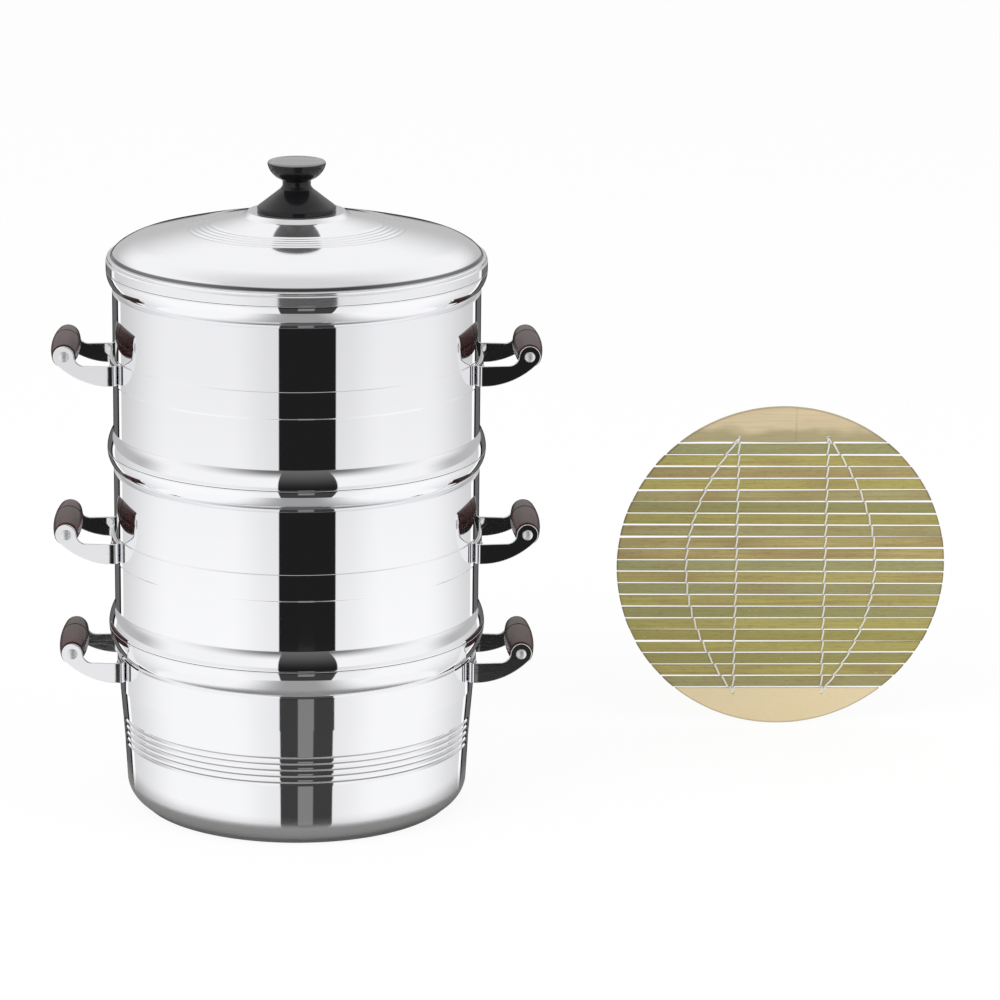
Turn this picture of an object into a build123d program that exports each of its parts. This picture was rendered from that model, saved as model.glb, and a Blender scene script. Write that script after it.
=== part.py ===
from build123d import *
import os
from math import asin, cos, degrees, pi, radians, sin, sqrt

os.makedirs("parts", exist_ok=True)

# A stacking aluminium steamer: a base pot, two steaming tiers, a domed lid and
# two round bamboo racks. Origin: centre of the base pot's underside, +Z up.
# The handles lie along X, and the front of the set faces -Y. Millimetres.

# Vessels
WALL_R = 149.5            # outside of a tier's wall
SEAT_R = 154.5            # outside at every seam between two vessels
SHEET = 1.6               # thickness of the spun sheet
BASE_SEAM = 151.0         # height of the base pot's rim
TIER_PITCH = 148.0        # from one seam to the next
BODY_GAP = 0.3            # between the rim and the vessel that rests on it

# Seat: the rim is a bowl that the next vessel's spigot drops into
BOWL_R = 21.5             # radius of the bowl's outline
BOWL_TURN = 50.0          # degrees of it, from the rim down to the neck
SPIGOT_GAP = 0.5          # from the spigot to the bowl it sits in
SPIGOT_DEPTH = 14.0
SHOULDER_DROP = 1.5       # from the neck down to the wall
LEDGE_R = 133.0           # hole in a tier's floor, under the rack
BULGE_H = 16.0            # height of the swell above a seam

# Raised band that the tier's brackets are riveted to
BAND_LOW = 57.0
BAND_HIGH = 79.0
BAND_PROUD = 0.4

# Base pot
BASE_TOP_R = 146.0
BASE_NECK_DROP = 24.0     # from the rim to the top of its wall
BASE_STRAIGHT_Z = 100.0   # the wall is straight above this and tapers below
BASE_BEAD_TOP_R = 144.3
BASE_BEAD_LOW_R = 142.2
BASE_BEAD_TOP_Z = 79.0
BASE_BEADS = 5
BASE_BEAD_PITCH = 5.3
BASE_BEAD_DEPTH = 0.9
BASE_CORNER_Z = 20.0
BASE_CORNER_R = 140.5
BASE_CORNER_MID = (136.3, 8.2)      # a point of the arc from the foot to the wall
BASE_FOOT_R = 129.5
BASE_FOOT_H = 2.6
BASE_FLOOR = 2.6
BASE_RIM_MID = (152.5, 140.0)       # a point of the arc from the neck to the rim
BEAD_SHARE = 0.7          # of the pitch, from a bead's crest down to its groove
FOOT_STEP = 2.0

# Lid
SKIRT_H = 8.4             # from the seam up to the flange bead
SKIRT_CHAMFER = 1.2
FLANGE_R = 153.6
FLANGE_H = 2.6
LID_SHEET = 1.3
DOME_EDGE_R = 151.0
SHOULDER_R = 130.0        # the dome is nearly a cone inside this and rolls over outside it
SHOULDER_Z = 471.3
DOME_MID = (112.0, 475.8)
ROLL_MID = (138.0, 468.6)
ROLL_R = 144.0
ROLL_Z = 465.3
EDGE_MID = (148.4, 461.7)
RING_OUT_R = 90.0
RING_OUT_Z = 480.5
RING_FALL = 0.22          # slope of the dome across the rings
RINGS = 5
RING_PITCH = 4.25
RING_DEPTH = 0.5
LAND_R = 43.5             # foot of the raised land under the knob
LAND_TOP_R = 34.0
LAND_Z = 494.0
LAND_H = 3.7
LIP_TURN = 22.0           # degrees of the rim's bowl that the lid's lip follows

# Knob
KNOB_FOOT_R = 32.0
KNOB_FOOT_H = 2.8
KNOB_CHAMFER = 1.0
KNOB_FLARE_R = 13.2       # top of the straight flare
KNOB_FLARE_H = 17.8
KNOB_NECK_R = 11.4
KNOB_NECK_LOW = 20.4
KNOB_NECK_HIGH = 24.4
KNOB_CAP_LOW = (12.8, 25.7)
KNOB_CAP_MID = (20.0, 30.8)
KNOB_CAP_R = 23.6
KNOB_CAP_Z = 38.4         # height of the cap's widest ring above the land
KNOB_TOP_R = 21.8
KNOB_H = 40.7
KNOB_DISH = 1.0
KNOB_BORE_H = 22.5
SCREW_R = 3.0
SCREW_HEAD_R = 5.6
SCREW_HEAD_H = 2.6
SCREW_END_GAP = 2.0       # from the screw's tip to the end of its blind hole
WASHER_R = 8.0
WASHER_T = 1.2

# Handles
STRAP_T = 2.0
STRAP_H = 16.4
ARM_Y = 42.0              # outer face of each arm at the rod, from the middle of the handle
ARM_WALL_Y = 46.3         # and where it leaves the wall: the arms lean in towards the rod
BEND_R = 3.0              # inside of the strap's bend
EYE_OUT = 37.5            # rod's axis, out from the wall
EYE_UP = 15.3             # and up from the middle of the strap
EYE_R = 8.6
EYE_FILLET = 8.0
EYE_UNDER_TURN = 50.0     # degrees below level where the strap's lower edge meets the eye
ARM_CURVE_X = 23.0        # a point of that lower edge, out from the wall
ARM_CURVE_UP = 4.1
ROD_R = 2.5
ROD_SEAT_Y = 42.45        # flat side of the rod's heads
ROD_HEAD_R = 4.2
ROD_HEAD_H = 1.8
GRIP_HALF = 38.95
GRIP_END_R = 9.6
GRIP_SHOULDER_R = 10.7    # beside the grooves
GRIP_MID_R = 11.8
GRIP_GROOVE_Y = 29.5
GRIP_GROOVE_W = 1.6
GRIP_GROOVE_D = 0.8
TIER_STRAP_Z = 67.7       # middle of the strap above the tier's lower seam
BASE_STRAP_Z = 118.0
RIVET_Y = 20.0
RIVET_R = 2.2
RIVET_HEAD_R = 4.4
RIVET_HEAD_H = 1.7
RIVET_TOP_R = 2.8
RIVET_INSIDE_H = 1.3

# Racks
RACK_R = 142.0
SLATS = 21
SLAT_PITCH = 10.45
SLAT_W = 8.8
SLAT_T = 3.0
BOARD_GAP = 1.6
THREAD_W = 1.3
THREAD_T = 0.9
THREAD_GAP = 0.02         # between a thread and the slats it lies on
HOLE_X = 38.5
HOLE_Y = 114.5
HOLE_R = 1.5
HOLE_GAP = 0.2
BOW = 43.5                # how far the outer strings bow away from the inner ones
RACK_LIFT = 0.3           # rack above the ledge it rests on
SHOWN_RACK_X = 420.0      # where the upper tier's rack stands beside the pot
SHOWN_RACK_Y = 200.0

MIDDLE_SEAM = BASE_SEAM + TIER_PITCH
UPPER_SEAM = MIDDLE_SEAM + TIER_PITCH
BOWL_CENTRE_R = SEAT_R - BOWL_R
NECK_R = BOWL_CENTRE_R + BOWL_R * cos(radians(BOWL_TURN))
NECK_DROP = BOWL_R * sin(radians(BOWL_TURN))


def turned(start, *steps):
    """A ring or shell turned round Z. A step is the next (r, z) of the outline,
    or ((r, z), (r, z)) for an arc through the first point to the second."""
    edges = []
    here = start
    for step in steps + (start,):
        if isinstance(step[0], tuple):
            middle, end = step
            arc = ThreePointArc((here[0], 0, here[1]), (middle[0], 0, middle[1]), (end[0], 0, end[1]))
            edges.append(arc)
            here = end
        else:
            edges.append(Line((here[0], 0, here[1]), (step[0], 0, step[1])))
            here = step
    return revolve(make_face(edges), Axis.Z)


def on_arc(centre_r, centre_z, radius, angle):
    """A point of an outline's arc, with the angle in degrees up from +r."""
    turn = radians(angle)
    return (centre_r + radius * cos(turn), centre_z + radius * sin(turn))


def arc_step(centre_r, centre_z, radius, angle_from, angle_to):
    middle = on_arc(centre_r, centre_z, radius, (angle_from + angle_to) / 2)
    return (middle, on_arc(centre_r, centre_z, radius, angle_to))


def bowl_outside(seam):
    """From the neck out and up to the rim."""
    return arc_step(BOWL_CENTRE_R, seam, BOWL_R, -BOWL_TURN, 0)


def bowl_inside(seam):
    """From the rim down and in to the neck."""
    return arc_step(BOWL_CENTRE_R, seam, BOWL_R - SHEET, 0, -BOWL_TURN)


def tier_shell(seam):
    """A steaming tier whose lower seam is at this height."""
    top = seam + TIER_PITCH
    spigot_r = BOWL_R - SHEET - SPIGOT_GAP
    turn_out = degrees(asin(SPIGOT_DEPTH / spigot_r))
    inner_r = spigot_r - SHEET
    turn_in = degrees(asin((SPIGOT_DEPTH - SHEET) / inner_r))
    swell = SEAT_R - WALL_R
    bulge_r = (BULGE_H ** 2 + swell ** 2) / (2 * swell)
    bulge_turn = degrees(asin(BULGE_H / bulge_r))
    bulge_low = degrees(asin(BODY_GAP / bulge_r))
    bulge_start = on_arc(SEAT_R - bulge_r, seam, bulge_r, bulge_low)
    spigot_start = on_arc(BOWL_CENTRE_R, seam, spigot_r, degrees(asin(BODY_GAP / spigot_r)))
    wall_in = WALL_R - SHEET
    return turned(
        (LEDGE_R, seam - SPIGOT_DEPTH),
        on_arc(BOWL_CENTRE_R, seam, spigot_r, -turn_out),
        on_arc(BOWL_CENTRE_R, seam, spigot_r, -turn_out / 2),
        spigot_start,
        bulge_start,
        arc_step(SEAT_R - bulge_r, seam, bulge_r, bulge_low, bulge_turn),
        (WALL_R, seam + BAND_LOW),
        (WALL_R + BAND_PROUD, seam + BAND_LOW),
        (WALL_R + BAND_PROUD, seam + BAND_HIGH),
        (WALL_R, seam + BAND_HIGH),
        (WALL_R, top - NECK_DROP - SHOULDER_DROP),
        (NECK_R, top - NECK_DROP),
        bowl_outside(top),
        (SEAT_R - SHEET, top),
        bowl_inside(top),
        (NECK_R - SHEET, top - NECK_DROP),
        (wall_in, top - NECK_DROP - 2 * SHOULDER_DROP),
        (wall_in, seam + BULGE_H),
        on_arc(BOWL_CENTRE_R, seam, inner_r, 0),
        on_arc(BOWL_CENTRE_R, seam, inner_r, -turn_in / 2),
        on_arc(BOWL_CENTRE_R, seam, inner_r, -turn_in),
        (LEDGE_R, seam - SPIGOT_DEPTH + SHEET),
    )


def base_pot_shell():
    beads = []
    bead_drop = (BASE_BEAD_TOP_R - BASE_BEAD_LOW_R) / BASE_BEADS
    for i in range(BASE_BEADS - 1, -1, -1):
        z = BASE_BEAD_TOP_Z - i * BASE_BEAD_PITCH
        r = BASE_BEAD_TOP_R - i * bead_drop
        beads.append((r - bead_drop - BASE_BEAD_DEPTH, z - BEAD_SHARE * BASE_BEAD_PITCH))
        beads.append((r, z))
    wall_top = BASE_SEAM - BASE_NECK_DROP
    corner_inside = (BASE_CORNER_MID[0] - SHEET, BASE_CORNER_MID[1] + SHEET)
    return turned(
        (0, 0),
        (BASE_FOOT_R - FOOT_STEP, 0),
        (BASE_FOOT_R, BASE_FOOT_H),
        (BASE_CORNER_MID, (BASE_CORNER_R, BASE_CORNER_Z)),
        (BASE_BEAD_LOW_R, BASE_BEAD_TOP_Z - BASE_BEADS * BASE_BEAD_PITCH),
        *beads,
        (BASE_TOP_R, BASE_STRAIGHT_Z),
        (BASE_TOP_R, wall_top),
        (NECK_R - SHOULDER_DROP, wall_top + SHOULDER_DROP),
        (BASE_RIM_MID, (SEAT_R, BASE_SEAM)),
        (SEAT_R - SHEET, BASE_SEAM),
        bowl_inside(BASE_SEAM),
        (NECK_R - SHOULDER_DROP - SHEET, wall_top + SHOULDER_DROP),
        (BASE_TOP_R - SHEET, wall_top - SHOULDER_DROP),
        (BASE_TOP_R - SHEET, BASE_STRAIGHT_Z),
        (BASE_BEAD_LOW_R - BASE_BEAD_DEPTH - SHEET, 2 * BASE_CORNER_Z),
        (BASE_CORNER_R - SHEET, BASE_CORNER_Z),
        (corner_inside, (BASE_FOOT_R - FOOT_STEP, BASE_FLOOR)),
        (0, BASE_FLOOR),
    )


def lid_shell():
    """Dome, pressed rings, flange bead, skirt and the lip that enters the rim."""
    flange_z = UPPER_SEAM + SKIRT_H
    bead_foot_r = SEAT_R - SKIRT_CHAMFER
    rings = []
    for i in range(RINGS):
        r = RING_OUT_R - i * RING_PITCH
        z = RING_OUT_Z + i * RING_PITCH * RING_FALL
        rings.append((r, z))
        rings.append((r - RING_PITCH / 2, z + RING_FALL * RING_PITCH / 2 - RING_DEPTH))
    inner_r = RING_OUT_R - RINGS * RING_PITCH
    inner_z = RING_OUT_Z + RINGS * RING_PITCH * RING_FALL
    rings.append((inner_r, inner_z))
    lip_r = BOWL_R - SHEET - SPIGOT_GAP
    lip_start = on_arc(BOWL_CENTRE_R, UPPER_SEAM, lip_r, degrees(asin(BODY_GAP / lip_r)))
    lip_in = lip_r - LID_SHEET
    slant = LID_SHEET * sin(pi / 4)
    return turned(
        (SCREW_R, LAND_Z - LID_SHEET),
        (SCREW_R, LAND_Z),
        (LAND_TOP_R, LAND_Z),
        (LAND_R, LAND_Z - LAND_H),
        *reversed(rings),
        (DOME_MID, (SHOULDER_R, SHOULDER_Z)),
        (ROLL_MID, (ROLL_R, ROLL_Z)),
        (EDGE_MID, (DOME_EDGE_R, flange_z + FLANGE_H)),
        (bead_foot_r, flange_z + FLANGE_H),
        (FLANGE_R, flange_z + FLANGE_H / 2),
        (bead_foot_r, flange_z),
        (SEAT_R, flange_z - SKIRT_CHAMFER),
        (SEAT_R, UPPER_SEAM + BODY_GAP),
        lip_start,
        on_arc(BOWL_CENTRE_R, UPPER_SEAM, lip_r, -LIP_TURN),
        on_arc(BOWL_CENTRE_R, UPPER_SEAM, lip_in, -LIP_TURN),
        on_arc(BOWL_CENTRE_R, UPPER_SEAM, lip_in, 0),
        (DOME_EDGE_R - LID_SHEET, flange_z),
        (EDGE_MID[0] - slant, EDGE_MID[1] - slant),
        (ROLL_R - slant, ROLL_Z - LID_SHEET),
        (SHOULDER_R, SHOULDER_Z - LID_SHEET),
        (RING_OUT_R, RING_OUT_Z - LID_SHEET - RING_DEPTH),
        (inner_r, inner_z - LID_SHEET - RING_DEPTH),
        (LAND_R, LAND_Z - LID_SHEET - LAND_H),
        (LAND_TOP_R, LAND_Z - LID_SHEET),
    )


def knob():
    def up(point):
        return (point[0], point[1] + LAND_Z)

    return turned(
        up((SCREW_R, 0)),
        up((KNOB_FOOT_R, 0)),
        up((KNOB_FOOT_R, KNOB_FOOT_H)),
        up((KNOB_FOOT_R - KNOB_CHAMFER, KNOB_FOOT_H + KNOB_CHAMFER)),
        up((KNOB_FLARE_R, KNOB_FLARE_H)),
        up((KNOB_NECK_R, KNOB_NECK_LOW)),
        up((KNOB_NECK_R, KNOB_NECK_HIGH)),
        up(KNOB_CAP_LOW),
        (up(KNOB_CAP_MID), up((KNOB_CAP_R, KNOB_CAP_Z))),
        up((KNOB_TOP_R, KNOB_H)),
        up((KNOB_TOP_R - 2 * KNOB_DISH, KNOB_H - KNOB_DISH)),
        up((0, KNOB_H - KNOB_DISH)),
        up((0, KNOB_BORE_H)),
        up((SCREW_R, KNOB_BORE_H)),
    )


def knob_washer():
    top = LAND_Z - LID_SHEET
    return turned((SCREW_R, top - WASHER_T), (WASHER_R, top - WASHER_T), (WASHER_R, top), (SCREW_R, top))


def knob_screw():
    head_top = LAND_Z - LID_SHEET - WASHER_T
    tip = LAND_Z + KNOB_BORE_H - SCREW_END_GAP
    return turned(
        (0, head_top - SCREW_HEAD_H),
        (SCREW_R, head_top - SCREW_HEAD_H),
        (SCREW_HEAD_R, head_top - SCREW_HEAD_H / 2),
        (SCREW_HEAD_R, head_top),
        (SCREW_R, head_top),
        (SCREW_R, tip),
        (0, tip),
    )


def strap_bracket(wall_r, strap_z):
    """One flat strap: its back follows the wall, its two arms bend out along X, lean in
    and end in the eyes that hold the rod. This is the one on the +X side."""
    back_r = wall_r + STRAP_T
    eye_x = wall_r + EYE_OUT
    low = (sqrt(wall_r ** 2 - ARM_WALL_Y ** 2), ARM_WALL_Y)
    lean = (ARM_WALL_Y - ARM_Y) / (eye_x - low[0])
    inner_y = ARM_Y - STRAP_T * sqrt(1 + lean ** 2)
    low_in_x = sqrt(back_r ** 2 - (ARM_WALL_Y - STRAP_T) ** 2)
    low_in = (low_in_x, inner_y + lean * (eye_x - low_in_x))
    reach = eye_x + EYE_R + STRAP_T
    end_y = ARM_Y - lean * (reach - eye_x)
    end_in_y = inner_y - lean * (reach - eye_x)
    plan = make_face([
        ThreePointArc((low[0], -low[1]), (wall_r, 0), low),
        Line(low, (reach, end_y)),
        Line((reach, end_y), (reach, end_in_y)),
        Line((reach, end_in_y), low_in),
        ThreePointArc(low_in, (back_r, 0), (low_in[0], -low_in[1])),
        Line((low_in[0], -low_in[1]), (reach, -end_in_y)),
        Line((reach, -end_in_y), (reach, -end_y)),
        Line((reach, -end_y), (low[0], -low[1])),
    ])
    for (x, y), r in ((low, BEND_R + STRAP_T), (low_in, BEND_R)):
        for side in (y, -y):
            corner = plan.vertices().sort_by_distance((x, side, 0))[0]
            plan = fillet(corner, r)
    tall = STRAP_H + EYE_UP + EYE_R
    strap = extrude(Pos(0, 0, strap_z - STRAP_H / 2) * plan, tall)

    half = STRAP_H / 2
    fillet_run = sqrt((EYE_R + EYE_FILLET) ** 2 - (half + EYE_FILLET - EYE_UP) ** 2)
    fillet_x = eye_x - fillet_run
    share = EYE_R / (EYE_R + EYE_FILLET)
    touch = (eye_x - fillet_run * share, EYE_UP + (half + EYE_FILLET - EYE_UP) * share)
    fillet_mid = (fillet_x + EYE_FILLET * sin(pi / 4), half + EYE_FILLET * (1 - cos(pi / 4)))
    under = on_arc(eye_x, EYE_UP, EYE_R, -EYE_UNDER_TURN)
    start = (low[0] - BEND_R, -half)
    bend_end = (wall_r + STRAP_T, -half)
    side = make_face([
        Line(start, bend_end),
        ThreePointArc(bend_end, (wall_r + ARM_CURVE_X, -half + ARM_CURVE_UP), under),
        ThreePointArc(under, on_arc(eye_x, EYE_UP, EYE_R, 45), touch),
        ThreePointArc(touch, fillet_mid, (fillet_x, half)),
        Line((fillet_x, half), (start[0], half)),
        Line((start[0], half), start),
    ])
    outline = Pos(0, ARM_WALL_Y + 1, strap_z) * Rot(90, 0, 0) * side
    bracket = strap & extrude(outline, 2 * ARM_WALL_Y + 2)
    rod_hole = Pos(eye_x, 0, strap_z + EYE_UP) * Rot(90, 0, 0) * Cylinder(ROD_R, 2 * ROD_SEAT_Y + 2)
    rivet_holes = [rivet_place(wall_r, strap_z, s) * Cylinder(RIVET_R, 4 * STRAP_T) for s in (-1, 1)]
    return bracket - rod_hole - rivet_holes[0] - rivet_holes[1]


def rivet_place(wall_r, strap_z, side):
    """Turns a Z axis piece onto the wall at one rivet, pointing outwards."""
    angle = degrees(asin(RIVET_Y / wall_r)) * side
    return Rot(0, 0, angle) * Pos(wall_r, 0, strap_z) * Rot(0, 90, 0)


def wall_rivets(wall_r, strap_z, wall_t):
    """The two rivets of a bracket, each with a domed head outside and a flat one inside."""
    out = STRAP_T
    inside = -wall_t
    rivet = turned(
        (0, inside - RIVET_INSIDE_H),
        (RIVET_HEAD_R, inside - RIVET_INSIDE_H),
        (RIVET_HEAD_R, inside),
        (RIVET_R, inside),
        (RIVET_R, out),
        (RIVET_HEAD_R, out),
        (RIVET_TOP_R, out + RIVET_HEAD_H),
        (0, out + RIVET_HEAD_H),
    )
    return Compound([rivet_place(wall_r, strap_z, s) * rivet for s in (-1, 1)])


def on_rod(wall_r, strap_z):
    """Turns a Z axis piece onto the rod's axis, which runs along Y."""
    return Pos(wall_r + EYE_OUT, 0, strap_z + EYE_UP) * Rot(90, 0, 0)


def grip(wall_r, strap_z):
    """A turned barrel with a groove near each end."""
    near = GRIP_GROOVE_Y
    floor_r = GRIP_SHOULDER_R - GRIP_GROOVE_D
    profile = turned(
        (ROD_R, -GRIP_HALF),
        (GRIP_END_R, -GRIP_HALF),
        (GRIP_SHOULDER_R, -near - GRIP_GROOVE_W),
        (floor_r, -near - GRIP_GROOVE_W / 2),
        (GRIP_SHOULDER_R, -near),
        ((GRIP_MID_R, 0), (GRIP_SHOULDER_R, near)),
        (floor_r, near + GRIP_GROOVE_W / 2),
        (GRIP_SHOULDER_R, near + GRIP_GROOVE_W),
        (GRIP_END_R, GRIP_HALF),
        (ROD_R, GRIP_HALF),
    )
    return on_rod(wall_r, strap_z) * profile


def grip_rod(wall_r, strap_z):
    """The through rivet that carries the grip, with a raised head at each end."""
    top = ROD_SEAT_Y + ROD_HEAD_H
    top_r = ROD_HEAD_R - ROD_HEAD_H
    profile = turned(
        (0, -top),
        (top_r, -top),
        (ROD_HEAD_R, -ROD_SEAT_Y),
        (ROD_R, -ROD_SEAT_Y),
        (ROD_R, ROD_SEAT_Y),
        (ROD_HEAD_R, ROD_SEAT_Y),
        (top_r, top),
        (0, top),
    )
    return on_rod(wall_r, strap_z) * profile


def rack_slats():
    """Slats along X, side by side along Y, cut to the rack's circle, lying flat."""
    disc = Cylinder(RACK_R, SLAT_T)
    first = -SLAT_PITCH * (SLATS - 1) / 2
    slats = []
    for i in range(SLATS):
        strip = Pos(0, first + i * SLAT_PITCH, 0) * Box(2 * RACK_R, SLAT_W, SLAT_T)
        slats.append((strip & disc).solid())
    return Compound(slats)


def rack_board(side):
    """The segment of the circle left above or below the slats, with its two string holes."""
    edge = SLAT_PITCH * (SLATS - 1) / 2 + SLAT_W / 2 + BOARD_GAP
    blank = Pos(0, side * (edge + RACK_R) / 2, 0) * Box(2 * RACK_R, RACK_R - edge, SLAT_T)
    board = blank & Cylinder(RACK_R, SLAT_T)
    for x in (-HOLE_X, HOLE_X):
        board -= Pos(x, side * HOLE_Y, 0) * Cylinder(HOLE_R, SLAT_T)
    return board.solid()


def string_band(side, bow, z):
    """A thread over one face of the rack, from hole to hole, straight or bowed outwards."""
    a = (side * HOLE_X, HOLE_Y)
    b = (side * HOLE_X, -HOLE_Y)
    if bow:
        path = ThreePointArc(a, (side * (HOLE_X + bow), 0), b)
    else:
        path = Line(a, b)
    band = trace(path, THREAD_W)
    return extrude(Pos(0, 0, z - THREAD_T / 2) * band, THREAD_T)


def string_x(side, bow, y):
    if not bow:
        return side * HOLE_X
    radius = (HOLE_Y ** 2 + bow ** 2) / (2 * bow)
    return side * (HOLE_X + bow - radius + sqrt(radius ** 2 - y ** 2))


def rack_strings():
    """Two strings. Each runs straight down through one pair of holes and back up in a
    bow, as a thread on either face with a crossing in every gap between two slats."""
    face = (SLAT_T + THREAD_T) / 2 + THREAD_GAP
    tall = 2 * face + THREAD_T
    gap_y = [SLAT_PITCH * (i - SLATS / 2) for i in range(SLATS + 1)]
    strings = []
    for side in (-1, 1):
        string = Pos(side * HOLE_X, HOLE_Y, 0) * Cylinder(HOLE_R - HOLE_GAP, tall)
        string += Pos(side * HOLE_X, -HOLE_Y, 0) * Cylinder(HOLE_R - HOLE_GAP, tall)
        for bow in (0, BOW):
            string += string_band(side, bow, face)
            string += string_band(side, bow, -face)
            for y in gap_y:
                string += Pos(string_x(side, bow, y), y, 0) * Box(THREAD_W, THREAD_W, tall)
        strings.append(string.solid())
    return Compound(strings)


def write(shape, name):
    export_step(shape, f"parts/{name}.step")


LEVELS = (
    ("base", BASE_TOP_R, BASE_STRAP_Z, SHEET),
    ("middle", WALL_R + BAND_PROUD, BASE_SEAM + TIER_STRAP_Z, SHEET + BAND_PROUD),
    ("upper", WALL_R + BAND_PROUD, MIDDLE_SEAM + TIER_STRAP_Z, SHEET + BAND_PROUD),
)

write(base_pot_shell(), "base_pot")
write(tier_shell(BASE_SEAM), "middle_tier")
write(tier_shell(MIDDLE_SEAM), "upper_tier")
write(lid_shell(), "lid")
write(knob(), "lid_knob")
write(knob_washer(), "knob_washer")
write(knob_screw(), "knob_screw")

for level, wall_r, strap_z, wall_t in LEVELS:
    pieces = {
        "handle_bracket": strap_bracket(wall_r, strap_z),
        "handle_grip": grip(wall_r, strap_z),
        "grip_rod": grip_rod(wall_r, strap_z),
        "bracket_rivets": wall_rivets(wall_r, strap_z, wall_t),
    }
    for name, piece in pieces.items():
        write(piece, f"{level}_right_{name}")
        write(Rot(0, 0, 180) * piece, f"{level}_left_{name}")

LYING = Pos(0, 0, BASE_SEAM - SPIGOT_DEPTH + SHEET + RACK_LIFT + SLAT_T / 2)
STANDING = Pos(SHOWN_RACK_X, SHOWN_RACK_Y, RACK_R) * Rot(90, 0, 0)
for rack, place in (("middle_rack", LYING), ("upper_rack", STANDING)):
    write(place * rack_slats(), f"{rack}_slats")
    write(place * rack_board(1), f"{rack}_top_board")
    write(place * rack_board(-1), f"{rack}_bottom_board")
    write(place * rack_strings(), f"{rack}_strings")
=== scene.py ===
"""A stacking steamer: spun vessels and lid, riveted handles and bamboo racks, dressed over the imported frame."""

import math

import bmesh
import bpy
from mathutils import Matrix, Vector


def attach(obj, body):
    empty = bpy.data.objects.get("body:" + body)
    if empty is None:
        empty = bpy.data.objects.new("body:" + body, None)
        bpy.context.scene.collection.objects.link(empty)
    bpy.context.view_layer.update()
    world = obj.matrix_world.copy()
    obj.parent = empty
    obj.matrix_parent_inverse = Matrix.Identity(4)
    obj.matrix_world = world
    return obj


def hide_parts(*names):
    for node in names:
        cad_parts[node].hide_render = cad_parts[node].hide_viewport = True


bl_info = {
    "name": "Stacking steamer",
    "version": (1, 0, 0),
    "blender": (4, 5, 0),
    "location": "3D View > Sidebar > Steamer",
    "description": "Makes the visible pieces of a stacking steamer pot",
    "category": "Object",
}

MM = 0.001
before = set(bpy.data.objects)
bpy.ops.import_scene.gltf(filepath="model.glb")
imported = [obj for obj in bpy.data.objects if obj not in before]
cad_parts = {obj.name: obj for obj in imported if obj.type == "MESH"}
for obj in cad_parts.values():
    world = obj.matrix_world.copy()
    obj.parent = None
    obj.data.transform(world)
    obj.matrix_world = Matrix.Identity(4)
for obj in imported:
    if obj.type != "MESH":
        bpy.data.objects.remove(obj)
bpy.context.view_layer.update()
LEVELS = ("base", "middle", "upper")
SIDES = ("right", "left")

# How finely the meshes' curves are divided, and how far the corners of turned outlines are rounded.
KNOB_TURNS, GRIP_TURNS, ROD_TURNS, RIVET_TURNS = 128, 64, 48, 40
EYE_STEPS, FILLET_STEPS, ARM_STEPS, ARM_EDGE_STEPS = 26, 8, 6, 60
BEND_STEPS, WALL_STEPS, BARREL_STEPS = 14, 10, 40
BOARD_ARC_STEPS, BOARD_CHORD_STEPS, HOLE_STEPS = 96, 48, 20
THREAD_POINTS, THREAD_SIDES, THREAD_TWIST = 361, 8, 7000.0
SPUN_EDGE, LID_EDGE = 0.5 * MM, 0.35 * MM

# The camera that the photograph's proportions were fitted with.
CAMERA_LENS, CAMERA_SENSOR, CAMERA_SHIFT = 162.5, 36.0, 0.2033
CAMERA_PLACE, CAMERA_TILT = (0.0, -3.582, 1.179), math.radians(75.5)
CAMERA_REACH = 60.0

# The studio that reflections see, in degrees. 0 is straight to the front and 90 to the right.
# The ceiling and the steep ground begin that far above and below the horizon.
DARK_GAP, GAP_MIDDLE = (-11.4, 24.6), 7.0
GAP_STRIPE, STRIPE_FALL = (0.4, 11.4), (16.4, 29.0)
REAR_LINE, REAR_PANEL, PANEL_PALE = (143.0, 148.5), 148.2, (151.8, 168.0)
CEILING_FROM, CEILING_FULL, CEILING_SPREAD, CEILING_TONE = 57.0, 63.0, 17.0, 0.64
STEEP_FROM, STEEP_FULL = 40.0, 44.0
PLAIN_LIGHT, ROOM_LIGHT = 0.72, 1.07
LAMPS = (("key", (-2.2, -2.6, 3.2), 2.6, 62.0), ("fill", (2.8, -2.0, 2.2), 2.6, 26.0))
LAMP_AIM = (0.1, 0.1, 0.25)
FLOOR_HALF = 25.0


def length(name, default, about):
    """A size in millimetres, kept as a distance in metres."""
    return bpy.props.FloatProperty(
        name=name, description=about, default=default * MM, subtype="DISTANCE", unit="LENGTH")


def colour(name, default, about):
    return bpy.props.FloatVectorProperty(
        name=name, description=about, default=default, subtype="COLOR", size=3, min=0.0, max=1.0)


def amount(name, default, about):
    return bpy.props.FloatProperty(name=name, description=about, default=default, min=0.0, max=1.0)


def count(name, default, about):
    return bpy.props.IntProperty(name=name, description=about, default=default, min=1)


def angle(name, default, about):
    return bpy.props.FloatProperty(
        name=name, description=about, default=math.radians(default), subtype="ANGLE", unit="ROTATION")


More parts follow.
